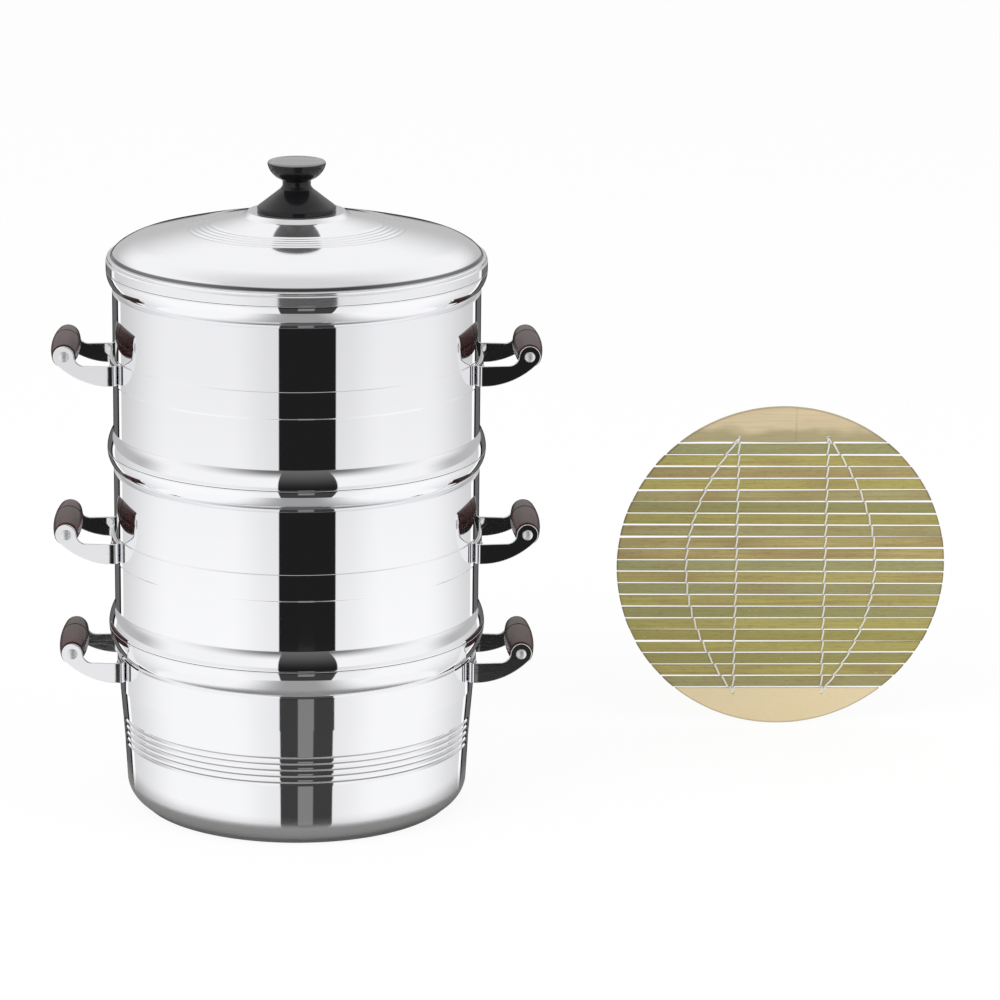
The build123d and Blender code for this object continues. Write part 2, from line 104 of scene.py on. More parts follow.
class SteamerVesselSizes(bpy.types.PropertyGroup):
    """Sizes of the base pot, the tiers and the lid."""

    turns: count("Turns", 256, "Faces round a spun piece")
    wall_r: length("Wall radius", 149.5, "Outside of a tier's wall")
    seat_r: length("Seat radius", 154.5, "Outside at every seam")
    sheet: length("Sheet", 1.6, "Thickness of the spun sheet")
    base_seam: length("Base seam", 151.0, "Height of the base pot's rim")
    pitch: length("Tier pitch", 148.0, "From one seam to the next")
    gap: length("Body gap", 0.3, "Between a rim and what rests on it")
    bowl_r: length("Bowl radius", 21.5, "Radius of the rim bowl's outline")
    bowl_turn: angle("Bowl turn", 50.0, "From the rim down to the neck")
    spigot_gap: length("Spigot gap", 0.5, "Between a spigot and its bowl")
    spigot_depth: length("Spigot depth", 14.0, "Depth of a tier's spigot")
    shoulder: length("Shoulder", 1.5, "From the neck down to the wall")
    ledge_r: length("Ledge radius", 133.0, "Hole in a tier's floor")
    bulge_h: length("Swell height", 16.0, "Height of the swell above a seam")
    band_low: length("Band's lower edge", 57.0, "Above the tier's lower seam")
    band_high: length("Band's upper edge", 79.0, "Above the tier's lower seam")
    band_proud: length("Band proud", 0.4, "How far the raised band stands out")
    base_top_r: length("Base wall radius", 146.0, "Outside of the base pot's straight wall")
    base_neck: length("Base neck", 24.0, "From the base pot's rim down to its wall")
    base_straight: length("Base straight", 100.0, "The base pot's wall tapers below this height")
    bead_top_r: length("Groove top radius", 144.3, "Wall radius at the top ring groove")
    bead_low_r: length("Groove low radius", 142.2, "Wall radius under the last ring groove")
    bead_top: length("Groove top", 79.0, "Height of the top ring groove")
    bead_pitch: length("Groove pitch", 5.3, "From one ring groove to the next")
    bead_depth: length("Groove depth", 0.9, "Depth of a ring groove")
    beads: count("Ring grooves", 5, "Ring grooves round the base pot")
    corner_r: length("Corner radius", 140.5, "Wall radius where the corner starts")
    corner_z: length("Corner height", 20.0, "Height where the corner starts")
    corner_mid_r: length("Corner middle radius", 136.3, "A point on the corner's curve")
    corner_mid_z: length("Corner middle height", 8.2, "Height of that point")
    rim_mid_r: length("Rim middle radius", 152.5, "A point on the base pot's rim curve")
    rim_mid_drop: length("Rim middle drop", 11.0, "How far below the rim that point is")
    foot_r: length("Foot radius", 129.5, "Outside of the flat underside")
    foot_h: length("Foot height", 2.6, "Height of the step round the underside")
    foot_step: length("Foot step", 2.0, "Slope of that step")
    floor_t: length("Floor", 2.6, "Thickness of the base pot's floor")


class SteamerLidSizes(bpy.types.PropertyGroup):
    """Sizes of the lid and its knob."""

    skirt: length("Skirt", 8.4, "From the seam up to the flange bead")
    chamfer: length("Skirt chamfer", 1.2, "Step under the flange bead")
    flange_r: length("Flange radius", 153.6, "Outside of the flange bead")
    flange_h: length("Flange height", 2.6, "Height of the flange bead")
    sheet: length("Lid sheet", 1.3, "Thickness of the lid")
    edge_r: length("Dome edge", 151.0, "Radius where the dome meets the flange bead")
    edge_mid_r: length("Edge curve radius", 148.4, "A point on the dome's outermost curve")
    edge_mid_z: length("Edge curve height", 461.7, "Height of that point")
    roll_r: length("Roll radius", 144.0, "Radius where the dome turns steep")
    roll_z: length("Roll height", 465.3, "Height of the dome there")
    roll_mid_r: length("Roll curve radius", 138.0, "A point between the shoulder and the roll")
    roll_mid_z: length("Roll curve height", 468.6, "Height of that point")
    shoulder_r: length("Shoulder radius", 130.0, "Radius where the dome starts to roll over")
    shoulder_z: length("Shoulder height", 471.3, "Height of the dome there")
    dome_mid_r: length("Dome curve radius", 112.0, "A point between the rings and the shoulder")
    dome_mid_z: length("Dome curve height", 475.8, "Height of that point")
    ring_r: length("Ring radius", 90.0, "Radius of the outermost fine ring")
    ring_z: length("Ring height", 480.5, "Height of the dome there")
    ring_fall: amount("Ring fall", 0.22, "Slope of the dome across the rings")
    ring_pitch: length("Ring pitch", 4.25, "From one fine ring to the next")
    ring_depth: length("Ring depth", 0.5, "Depth of a fine ring")
    rings: count("Fine rings", 5, "Fine rings pressed into the dome")
    land_r: length("Land radius", 43.5, "Foot of the raised land under the knob")
    land_top_r: length("Land top radius", 34.0, "Radius of that land's flat top")
    land_z: length("Land height", 494.0, "Height of that flat top")
    land_h: length("Land rise", 3.7, "Rise of the land above the dome")
    knob_h: length("Knob height", 40.7, "From the land to the knob's rim")
    knob_foot_r: length("Knob foot", 32.0, "Radius of the knob's foot")
    knob_foot_h: length("Knob foot height", 2.8, "Height of the foot's side")
    knob_chamfer: length("Knob chamfer", 1.0, "Chamfer on top of the foot")
    knob_flare_r: length("Knob flare", 13.2, "Radius at the top of the straight flare")
    knob_flare_h: length("Knob flare height", 17.8, "Height of that point above the land")
    knob_neck_r: length("Knob neck", 11.4, "Radius of the knob's neck")
    knob_neck_low: length("Knob neck low", 20.4, "Lower end of the neck above the land")
    knob_neck_high: length("Knob neck high", 24.4, "Upper end of the neck above the land")
    knob_cap_r: length("Knob cap", 23.6, "Radius of the knob's cap")
    knob_cap_z: length("Knob cap height", 38.4, "Height of the cap's widest ring above the land")
    knob_top_r: length("Knob top", 21.8, "Radius of the cap's upper rim")
    knob_dish: length("Knob dish", 1.0, "Depth of the dish in its top")
    knob_bore: length("Knob bore", 22.5, "Depth of the blind hole for the screw")
    screw_r: length("Screw radius", 3.0, "Radius of the knob's screw")


class SteamerHandleSizes(bpy.types.PropertyGroup):
    """Sizes of the handles' grips, rods and rivets."""

    strap_t: length("Strap", 2.0, "Thickness of the bent strap")
    strap_h: length("Strap height", 16.4, "Height of the bent strap")
    bend: length("Bend", 3.0, "Inside radius of the strap's bends")
    arm_y: length("Arm", 42.0, "Outer face of each arm at the rod, from the handle's middle")
    arm_wall_y: length("Arm at the wall", 46.3, "Outer face of each arm where it leaves the wall")
    curve_x: length("Curve place", 23.0, "A point of the arm's lower edge, out from the wall")
    curve_up: length("Curve height", 4.1, "Height of that point above the strap's lower edge")
    eye_r: length("Eye radius", 8.6, "Outside of the eye round the rod")
    eye_fillet: length("Eye fillet", 8.0, "Curve from the strap up into the eye")
    eye_out: length("Eye out", 37.5, "Rod's axis out from the wall")
    eye_up: length("Eye up", 15.3, "Rod's axis above the strap's middle")
    rod_r: length("Rod radius", 2.5, "Radius of the through rod")
    seat_y: length("Rod seat", 42.45, "Flat side of the rod's heads from the handle's middle")
    head_r: length("Rod head radius", 4.2, "Radius of the rod's domed head")
    head_h: length("Rod head height", 1.8, "Height of the rod's domed head")
    grip_half: length("Grip half length", 38.95, "From the grip's middle to its end")
    grip_end_r: length("Grip end", 9.6, "Radius of the grip's ends")
    grip_mid_r: length("Grip middle", 11.8, "Radius of the grip's middle")
    groove_y: length("Groove place", 7.9, "Ring groove behind the grip's middle")
    groove_w: length("Groove width", 2.3, "Width of the ring groove")
    groove_deep: length("Groove depth", 1.7, "Depth of the ring groove")
    rivet_y: length("Rivet place", 20.0, "Rivet from the handle's middle")
    rivet_r: length("Rivet radius", 2.2, "Radius of a rivet")
    rivet_head_r: length("Rivet head radius", 4.4, "Radius of a rivet's head")
    rivet_head_h: length("Rivet head height", 1.7, "Height of a rivet's head")
    base_strap_z: length("Base strap height", 118.0, "Middle of the base pot's straps")
    tier_strap_z: length("Tier strap height", 67.7, "Middle of a tier's straps above its lower seam")
    edge: length("Strap edge", 0.35, "Rounding of the strap's edges")


class SteamerRackSizes(bpy.types.PropertyGroup):
    """Sizes of the bamboo racks."""

    radius: length("Rack radius", 142.0, "Outside of a rack")
    slats: count("Slats", 21, "Slats in a rack")
    pitch: length("Slat pitch", 10.45, "From one slat to the next")
    width: length("Slat width", 8.8, "Width of a slat")
    thick: length("Slat thickness", 3.0, "Thickness of slats and boards")
    board_gap: length("Board gap", 1.6, "From the last slat to the end board")
    hole_x: length("Hole place", 38.5, "String hole from the rack's middle line")
    hole_y: length("Hole height", 114.5, "String hole from the rack's centre")
    hole_r: length("Hole radius", 1.5, "Radius of a string hole")
    thread_r: length("Thread radius", 0.76, "Radius of one thread")
    bow: length("Bow", 43.5, "How far the outer strings bow away")
    shown_x: length("Shown rack X", 420.0, "Where the loose rack stands")
    shown_y: length("Shown rack Y", 200.0, "Where the loose rack stands")
    seed: count("Seed", 7, "Seed of the slats' small differences")


class SteamerColours(bpy.types.PropertyGroup):
    """Colours and finishes."""

    aluminium: colour("Aluminium", (0.905, 0.907, 0.925), "Polished aluminium")
    wall_rough: amount("Wall roughness", 0.022, "Roughness of the polished walls")
    lid_rough: amount("Lid roughness", 0.085, "Roughness of the lid")
    knob_black: colour("Knob black", (0.008, 0.008, 0.009), "Moulded black resin")
    # A painted reflection: the knob's top is painted grey for the bright ceiling that its polish reflects.
    knob_top: colour("Knob top", (0.2, 0.2, 0.2), "The polished top of the knob")
    grip_brown: colour("Grip brown", (0.045, 0.016, 0.014), "Moulded red-brown resin")
    slat_olive: colour("Olive slat", (0.49, 0.43, 0.125), "Bamboo slat, olive skin")
    slat_green: colour("Grey-green slat", (0.36, 0.36, 0.17), "Bamboo slat, grey-green skin")
    slat_tan: colour("Tan slat", (0.55, 0.44, 0.2), "Bamboo slat, tan skin")
    slat_brown: colour("Brown slat", (0.36, 0.25, 0.11), "Bamboo slat, brown stain")
    board_tan: colour("Board tan", (0.74, 0.6, 0.38), "Planed bamboo")
    board_pale: colour("Pale board", (0.88, 0.74, 0.47), "The lower board's planed bamboo")
    board_green: colour("Board green", (0.3, 0.27, 0.12), "Skin side at the board's chord")
    string_white: colour("String white", (0.93, 0.91, 0.85), "Cotton string")


class Value:
    """A socket in an expression. Each operator adds its Math node."""

    def __init__(self, nodes, socket):
        self.nodes, self.socket = nodes, socket

    def __add__(self, other):
        return self.nodes.math("ADD", self, other)

    def __sub__(self, other):
        return self.nodes.math("SUBTRACT", self, other)

    def __rsub__(self, other):
        return self.nodes.math("SUBTRACT", other, self)

    def __mul__(self, other):
        return self.nodes.math("MULTIPLY", self, other)

    def __truediv__(self, other):
        return self.nodes.math("DIVIDE", self, other)

    def __mod__(self, other):
        return self.nodes.math("FLOORED_MODULO", self, other)

    __radd__ = __add__
    __rmul__ = __mul__


class Nodes:
    """Builds one node tree, of a material, of the world or of a modifier."""

    def __init__(self, tree):
        self.tree = tree

    def node(self, kind, settings=(), inputs=()):
        made = self.tree.nodes.new(kind)
        for name, value in dict(settings).items():
            if name == "stops":
                self.set_stops(made.color_ramp, value)
            else:
                setattr(made, name, value)
        for socket, value in dict(inputs).items():
            self.feed(made.inputs[socket], value)
        return made

    def set_stops(self, ramp, stops):
        ramp.elements[0].position, ramp.elements[-1].position = stops[0][0], stops[-1][0]
        for place, _ in stops[1:-1]:
            ramp.elements.new(place)
        for element, (_, shade) in zip(ramp.elements, stops):
            element.color = shade if len(shade) == 4 else (*shade, 1.0)

    def feed(self, socket, value):
        if isinstance(value, Value):
            self.tree.links.new(value.socket, socket)
        elif isinstance(value, bpy.types.NodeSocket):
            self.tree.links.new(value, socket)
        elif socket.type == "RGBA" and len(value) == 3:
            socket.default_value = (*value, 1.0)
        else:
            socket.default_value = value

    def value(self, socket):
        return Value(self, socket)

    def math(self, operation, *values):
        made = self.node("ShaderNodeMath", {"operation": operation}, dict(enumerate(values)))
        return Value(self, made.outputs[0])

    def smooth(self, value, low, high):
        """0 below low, 1 above high, and a smooth step between."""
        made = self.node(
            "ShaderNodeMapRange", {"interpolation_type": "SMOOTHSTEP"},
            {"Value": value, "From Min": low, "From Max": high})
        return Value(self, made.outputs["Result"])

    def band(self, value, low, high, soft):
        """1 between low and high, 0 outside, with soft edges."""
        return self.smooth(value, low, low + soft) * (1.0 - self.smooth(value, high - soft, high))

    def fade(self, share, first, second):
        """first where share is 0, second where it is 1."""
        return first * (1.0 - share) + second * share

    def vector(self, x, y, z):
        return self.node("ShaderNodeCombineXYZ", (), {0: x, 1: y, 2: z}).outputs[0]

    def split(self, socket):
        made = self.node("ShaderNodeSeparateXYZ", (), {0: socket})
        return [Value(self, out) for out in made.outputs]

    def mix(self, factor, first, second):
        """Blends two colours."""
        made = self.node("ShaderNodeMix", {"data_type": "RGBA"}, {0: factor, 6: first, 7: second})
        return made.outputs[2]

    def noise(self, vector, scale, detail=2.0, roughness=0.5):
        made = self.node(
            "ShaderNodeTexNoise", (),
            {"Vector": vector, "Scale": scale, "Detail": detail, "Roughness": roughness})
        return Value(self, made.outputs["Fac"])

    def stored(self, name):
        """A number stored on the piece's points."""
        made = self.node("ShaderNodeAttribute", {"attribute_name": name})
        return Value(self, made.outputs["Fac"])

    def bump(self, height, strength, distance):
        made = self.node("ShaderNodeBump", (), {"Strength": strength, "Distance": distance, "Height": height})
        return made.outputs["Normal"]


def material(name):
    """A new material with its principled shader, as (material, nodes, shader)."""
    made = bpy.data.materials.new(name)
    made.use_nodes = True
    made.node_tree.nodes.clear()
    nodes = Nodes(made.node_tree)
    shader = nodes.node("ShaderNodeBsdfPrincipled")
    nodes.node("ShaderNodeOutputMaterial", (), {"Surface": shader.outputs[0]})
    return made, nodes, shader


def object_place(nodes):
    return nodes.split(nodes.node("ShaderNodeTexCoord").outputs["Object"])


def rack_place(nodes):
    """Place on a rack as it lies flat: along the slats, across them and up."""
    found = nodes.node("ShaderNodeAttribute", {"attribute_name": "rack_place"})
    return nodes.split(found.outputs["Vector"])


def scaled(nodes, place, *scales):
    """The place with each of its directions scaled, as a vector."""
    return nodes.vector(*(part * scale for part, scale in zip(place, scales)))


def dimmed(tone, share):
    return [c * share for c in tone]


def spun_aluminium(name, tone, roughness, streaks, smear=0.0, crease_shade=None, metallic=1.0):
    """Polished aluminium with the fine rings that spinning leaves, and, where given, a ring of painted shade
    between two radii.
    """
    made, nodes, shader = material(name)
    x, y, z = object_place(nodes)
    r = nodes.math("SQRT", x * x + y * y)
    sweep = nodes.math("ARCTAN2", y, x)
    drift_x = nodes.math("COSINE", sweep) * 0.9
    drift_y = nodes.math("SINE", sweep) * 0.9

    def rings(per_metre, slice_at, *detail):
        place = nodes.vector(r * per_metre + drift_x, z * per_metre + drift_y, slice_at)
        return nodes.noise(place, 1.0, *detail)

    fine, broad = rings(2600.0, 0.0, 3.0, 0.6), rings(240.0, 3.0, 2.0)
    blotch = nodes.noise(scaled(nodes, (x, y, z), 14.0, 14.0, 14.0), 1.0, 3.0)
    rough = roughness + (fine - 0.5) * streaks + (broad - 0.5) * streaks * 0.7 + (blotch - 0.5) * smear
    nodes.feed(shader.inputs["Roughness"], nodes.math("MAXIMUM", rough, 0.015))
    worn = nodes.smooth(broad * 0.6 + blotch * 0.4, 0.4, 0.75) * 0.05
    shade = nodes.mix(worn, tone, dimmed(tone, 0.86))
    # Painted shade: a dark ring between these radii stands in for the shade in the groove where the lid's dome
    # meets its flange bead.
    if crease_shade:
        low, high = crease_shade
        shade = nodes.mix(nodes.band(r, low, high, 0.8 * MM) * 0.9, shade, dimmed(tone, 0.1))
    nodes.feed(shader.inputs["Base Color"], shade)
    nodes.feed(shader.inputs["Normal"], nodes.bump(fine, 0.05, 0.02 * MM))
    shader.inputs["Metallic"].default_value = metallic
    return made


def strip_aluminium(name, tone, roughness):
    """Rolled strip or swaged wire: faint lines along the metal and tiny dents."""
    made, nodes, shader = material(name)
    place = object_place(nodes)
    lines = nodes.noise(scaled(nodes, place, 60.0, 60.0, 1800.0), 1.0, 2.0)
    dents = nodes.noise(scaled(nodes, place, 180.0, 180.0, 180.0), 1.0, 1.0)
    nodes.feed(shader.inputs["Roughness"], roughness + lines * 0.03)
    nodes.feed(shader.inputs["Base Color"], nodes.mix(dents * 0.12, tone, dimmed(tone, 0.9)))
    nodes.feed(shader.inputs["Normal"], nodes.bump(lines * 0.6 + dents, 0.12, 0.06 * MM))
    shader.inputs["Metallic"].default_value = 1.0
    return made


def moulded_resin(name, tone, roughness, lift, ior, polished=None):
    """Glossy moulded resin: a slight ripple, faint flow marks and a polished top (its height and colour); the
    top's colour is a painted reflection.
    """
    made, nodes, shader = material(name)
    place = object_place(nodes)
    ripple = nodes.noise(nodes.vector(*place), 160.0, 1.0)
    flow = nodes.noise(scaled(nodes, place, 60.0, 30.0, 260.0), 1.0, 3.0)
    shade = nodes.mix(nodes.smooth(flow, 0.35, 0.8), tone, dimmed(tone, lift))
    if polished:
        # The top gets a real clear coat, and its base colour is painted lighter: a painted reflection of the
        # ceiling.
        height, painted_sheen = polished
        top = nodes.smooth(place[2], height, height + 0.3 * MM)
        shade = nodes.mix(top, shade, painted_sheen)
        nodes.feed(shader.inputs["Coat Weight"], top)
        shader.inputs["Coat Roughness"].default_value = 0.12
    nodes.feed(shader.inputs["Base Color"], shade)
    nodes.feed(shader.inputs["Roughness"], roughness + flow * 0.08)
    nodes.feed(shader.inputs["Normal"], nodes.bump(ripple, 0.08, 0.3 * MM))
    shader.inputs["IOR"].default_value = ior
    return made


def sawn_edge(nodes, along, across):
    """1 on the darkened cut edge round a rack."""
    r = nodes.math("SQRT", along * along + across * across)
    return nodes.smooth(r, 140.4 * MM, 141.4 * MM)


def bamboo_skin(name, colours):
    """Split bamboo: long grain, every slat its own shade, and pale scratches."""
    made, nodes, shader = material(name)
    along, across, _ = rack_place(nodes)
    own, shade = nodes.stored("slat_shade"), nodes.stored("slat_tone")

    def grain(per_along, per_across, per_slat, *detail):
        return nodes.noise(scaled(nodes, (along, across, own), per_along, per_across, per_slat), 1.0, *detail)

    fibre, stripe = grain(14.0, 1500.0, 40.0, 3.0, 0.65), grain(7.0, 320.0, 25.0, 2.0)
    patch = grain(16.0, 30.0, 60.0, 2.0)
    scratch, mottle = grain(260.0, 700.0, 9.0, 3.0, 0.7), grain(150.0, 900.0, 17.0, 3.0, 0.7)
    olive, brown = colours.slat_olive, colours.slat_brown
    tone = nodes.mix(nodes.smooth(own, 0.45, 0.8), olive, colours.slat_green)
    tone = nodes.mix(nodes.smooth(shade, 0.62, 0.95) * 0.8, tone, colours.slat_tan)
    stain = nodes.smooth(patch * 0.55 + stripe * 0.3 + shade * 0.32, 0.56, 0.82)
    tone = nodes.mix(stain * 0.75, tone, brown)
    dull = 1.0 - nodes.smooth(shade, 0.12, 0.45)
    for share, over in (
            (dull * 0.55, dimmed(olive, 0.62)),
            (nodes.smooth(fibre, 0.35, 0.7) * 0.6, dimmed(olive, 0.55)),
            (nodes.smooth(mottle, 0.5, 0.72) * 0.5, dimmed(brown, 0.6)),
            (nodes.smooth(scratch, 0.66, 0.74) * 0.7, colours.board_tan),
            (sawn_edge(nodes, along, across) * 0.6, dimmed(brown, 0.4))):
        tone = nodes.mix(share, tone, over)
    nodes.feed(shader.inputs["Base Color"], tone)
    nodes.feed(shader.inputs["Roughness"], 0.42 + fibre * 0.25)
    nodes.feed(shader.inputs["Normal"], nodes.bump(fibre * 0.7 + stripe * 0.3, 0.35, 0.25 * MM))
    return made


def bamboo_board(name, colours):
    """Planed bamboo: fine fibres, a node ring and the green skin along the upper board's chord."""
    made, nodes, shader = material(name)
    along, across, _ = rack_place(nodes)

    def grain(per_along, per_across, slice_at, *detail):
        return nodes.noise(nodes.vector(along * per_along, across * per_across, slice_at), 1.0, *detail)

    fibre, wander = grain(18.0, 1300.0, 2.0, 3.0, 0.6), grain(26.0, 40.0, 5.0, 2.0)
    specks, streak = grain(500.0, 900.0, 1.0, 1.0), grain(9.0, 260.0, 7.0, 3.0, 0.6)
    tan, brown = colours.board_tan, colours.slat_brown
    tone = nodes.mix(nodes.smooth(streak, 0.35, 0.7) * 0.5, tan, dimmed(tan, 0.8))
    tone = nodes.mix(nodes.smooth(fibre, 0.3, 0.8) * 0.5, tone, dimmed(tan, 0.72))
    lower = 1.0 - nodes.smooth(across, -MM, MM)
    tone = nodes.mix(lower * 0.75, tone, colours.board_pale)
    skin_edge = 119.5 * MM + (wander - 0.5) * (20.0 * MM)
    from_ring = nodes.math("ABSOLUTE", along - 10.5 * MM)
    dip = nodes.smooth(from_ring, 0.0, 30.0 * MM) * (4.0 * MM)
    skin = 1.0 - nodes.smooth(across - skin_edge, -3.0 * MM, 4.0 * MM + dip)
    upper = nodes.smooth(across, 0.0, MM)
    tone = nodes.mix(skin * upper * (0.45 + fibre * 0.4), tone, colours.board_green)
    ring = (1.0 - nodes.smooth(from_ring, 0.4 * MM, 1.6 * MM)) * upper * nodes.smooth(wander, 0.2, 0.7)
    tone = nodes.mix(ring * 0.35, tone, brown)
    tone = nodes.mix(nodes.smooth(specks, 0.66, 0.78) * 0.4, tone, brown)
    tone = nodes.mix(sawn_edge(nodes, along, across) * 0.35, tone, dimmed(brown, 0.4))
    nodes.feed(shader.inputs["Base Color"], tone)
    nodes.feed(shader.inputs["Roughness"], 0.5 + fibre * 0.2)
    nodes.feed(shader.inputs["Normal"], nodes.bump(fibre, 0.25, 0.2 * MM))
    return made


def cotton(name, tone):
    """Twisted cotton: fibres that wind round the thread."""
    made, nodes, shader = material(name)
    strand = nodes.math("SINE", nodes.stored("twist")) * 0.5 + 0.5
    fuzz = nodes.noise(nodes.vector(*object_place(nodes)), 2600.0, 2.0)
    nodes.feed(shader.inputs["Base Color"], nodes.mix(strand * 0.35 + fuzz * 0.15, tone, dimmed(tone, 0.6)))
    nodes.feed(shader.inputs["Normal"], nodes.bump(strand + fuzz * 0.6, 0.6, 0.2 * MM))
    shader.inputs["Roughness"].default_value = 0.85
    shader.inputs["Sheen Weight"].default_value = 0.15
    return made


def arc(centre, radius, start, end, steps):
    """Points of an outline's arc, with the angles in degrees up from outwards."""
    points = []
    for i in range(steps + 1):
        turn = math.radians(start + (end - start) * i / steps)
        points.append((centre[0] + radius * math.cos(turn), centre[1] + radius * math.sin(turn)))
    return points


def arc_through(first, middle, last, steps):
    """Points of the arc through three points of an outline."""
    (ax, ay), (bx, by), (cx, cy) = first, middle, last
    d = 2 * (ax * (by - cy) + bx * (cy - ay) + cx * (ay - by))
    a, b, c = ax * ax + ay * ay, bx * bx + by * by, cx * cx + cy * cy
    ux = (a * (by - cy) + b * (cy - ay) + c * (ay - by)) / d
    uy = (a * (cx - bx) + b * (ax - cx) + c * (bx - ax)) / d
    radius = math.hypot(ax - ux, ay - uy)
    turns = [math.degrees(math.atan2(q - uy, p - ux)) for p, q in (first, middle, last)]
    for i in (1, 2):
        while turns[i] - turns[i - 1] > 180:
            turns[i] -= 360
        while turns[i] - turns[i - 1] < -180:
            turns[i] += 360
    return arc((ux, uy), radius, turns[0], turns[2], steps)


def soften(outline, radius, least=14.0, steps=3):
    """Rounds the corners of a closed outline that turn by more than least degrees."""
    made = []
    n = len(outline)
    for i, here in enumerate(outline):
        before, after = Vector(outline[i - 1]), Vector(outline[(i + 1) % n])
        point = Vector(here)
        back, on = before - point, after - point
        if here[0] < 1e-6 or back.length < 1e-7 or on.length < 1e-7:
            made.append(here)
            continue
        turn = math.pi - back.angle(on)
        if math.degrees(turn) < least:
            made.append(here)
            continue
        cut = min(radius * math.tan(min(turn, 2.6) / 2), 0.42 * back.length, 0.42 * on.length)
        start, end = point + back.normalized() * cut, point + on.normalized() * cut
        for k in range(steps + 1):
            t = k / steps
            made.append(tuple((1 - t) ** 2 * start + 2 * t * (1 - t) * point + t * t * end))
    return steadied(made)


def steadied(outline, near=0.35 * MM, long=2.4 * MM):
    """Adds a point close to each end of a long straight run, so that its shading stays flat."""
    made = []
    n = len(outline)
    for i, here in enumerate(outline):
        on = Vector(outline[(i + 1) % n]) - Vector(here)
        made.append(here)
        if on.length < long:
            continue
        step = on.normalized() * near
        for point in (Vector(here) + step, Vector(here) + on - step):
            if min(point.x, here[0]) > 1e-6:
                made.append(tuple(point))
    return made


def new_tree(name, *inputs):
    """An empty Geometry Nodes tree with a mesh in and out, as (tree, nodes, in, out)."""
    tree = bpy.data.node_groups.new(name, "GeometryNodeTree")
    tree.interface.new_socket("Geometry", in_out="INPUT", socket_type="NodeSocketGeometry")
    tree.interface.new_socket("Geometry", in_out="OUTPUT", socket_type="NodeSocketGeometry")
    for label, kind in inputs:
        tree.interface.new_socket(label, in_out="INPUT", socket_type=f"NodeSocket{kind}")
    nodes = Nodes(tree)
    entry = nodes.node("NodeGroupInput")
    return tree, nodes, {s.name: s for s in entry.outputs if s.name}, nodes.node("NodeGroupOutput")


def finish_tree(nodes, geometry, paint, out):
    real = nodes.node("GeometryNodeRealizeInstances", (), {"Geometry": geometry})
    painted = nodes.node("GeometryNodeSetMaterial", (), {"Geometry": real.outputs[0], "Material": paint})
    nodes.feed(out.inputs[0], painted.outputs[0])


def lathe_tree():
    """Turns the outline's points round Z: a grid whose rows are read from the outline."""
    tree, nodes, given, out = new_tree("Lathe", ("Turns", "Int"), ("Paint", "Material"))
    sizes = nodes.node("GeometryNodeAttributeDomainSize", {"component": "MESH"}, {0: given["Geometry"]})
    points = nodes.value(sizes.outputs["Point Count"])
    rows = points + 1
    turns = nodes.value(given["Turns"])
    grid = nodes.node(
        "GeometryNodeMeshGrid", (),
        {"Size X": 1.0, "Size Y": 1.0, "Vertices X": turns + 1, "Vertices Y": rows})
    index = nodes.value(nodes.node("GeometryNodeInputIndex").outputs[0])
    column = nodes.math("FLOOR", (index + 0.5) / rows)
    row = nodes.math("ROUND", (index - column * rows)) % points
    position = nodes.node("GeometryNodeInputPosition").outputs[0]
    spot = nodes.node(
        "GeometryNodeSampleIndex", {"data_type": "FLOAT_VECTOR", "domain": "POINT"},
        {"Geometry": given["Geometry"], "Value": position, "Index": row})
    r, _, z = nodes.split(spot.outputs[0])
    sweep = column / turns * math.tau
    place = nodes.vector(r * nodes.math("COSINE", sweep), r * nodes.math("SINE", sweep), z)
    moved = nodes.node("GeometryNodeSetPosition", (), {"Geometry": grid.outputs[0], "Position": place})
    merged = nodes.node(
        "GeometryNodeMergeByDistance", (), {"Geometry": moved.outputs[0], "Distance": 0.004 * MM})
    finish_tree(nodes, merged.outputs[0], given["Paint"], out)
    return tree


def around_tree():
    """Sets copies of a piece on both sides of the set, at a radius and height, with a spread."""
    tree, nodes, given, out = new_tree(
        "Around", ("Copies", "Int"), ("Radius", "Float"), ("Height", "Float"), ("Spread", "Float"),
        ("Tilt X", "Float"), ("Tilt Y", "Float"), ("Turn", "Float"), ("Paint", "Material"))
    line = nodes.node("GeometryNodeMeshLine", (), {"Count": given["Copies"]})
    index = nodes.value(nodes.node("GeometryNodeInputIndex").outputs[0])
    half = nodes.math("FLOOR", index * 0.5 + 0.25)
    sweep = (index % 2) * math.pi + (half * 2 - 1) * nodes.value(given["Spread"])
    radius = nodes.value(given["Radius"])
    place = nodes.vector(
        radius * nodes.math("COSINE", sweep), radius * nodes.math("SINE", sweep), nodes.value(given["Height"]))
    points = nodes.node("GeometryNodeSetPosition", (), {"Geometry": line.outputs[0], "Position": place})
    turn = nodes.vector(
        nodes.value(given["Tilt X"]), nodes.value(given["Tilt Y"]), sweep * nodes.value(given["Turn"]))
    copies = nodes.node(
        "GeometryNodeInstanceOnPoints", (),
        {"Points": points.outputs[0], "Instance": given["Geometry"], "Rotation": turn})
    finish_tree(nodes, copies.outputs[0], given["Paint"], out)
    return tree


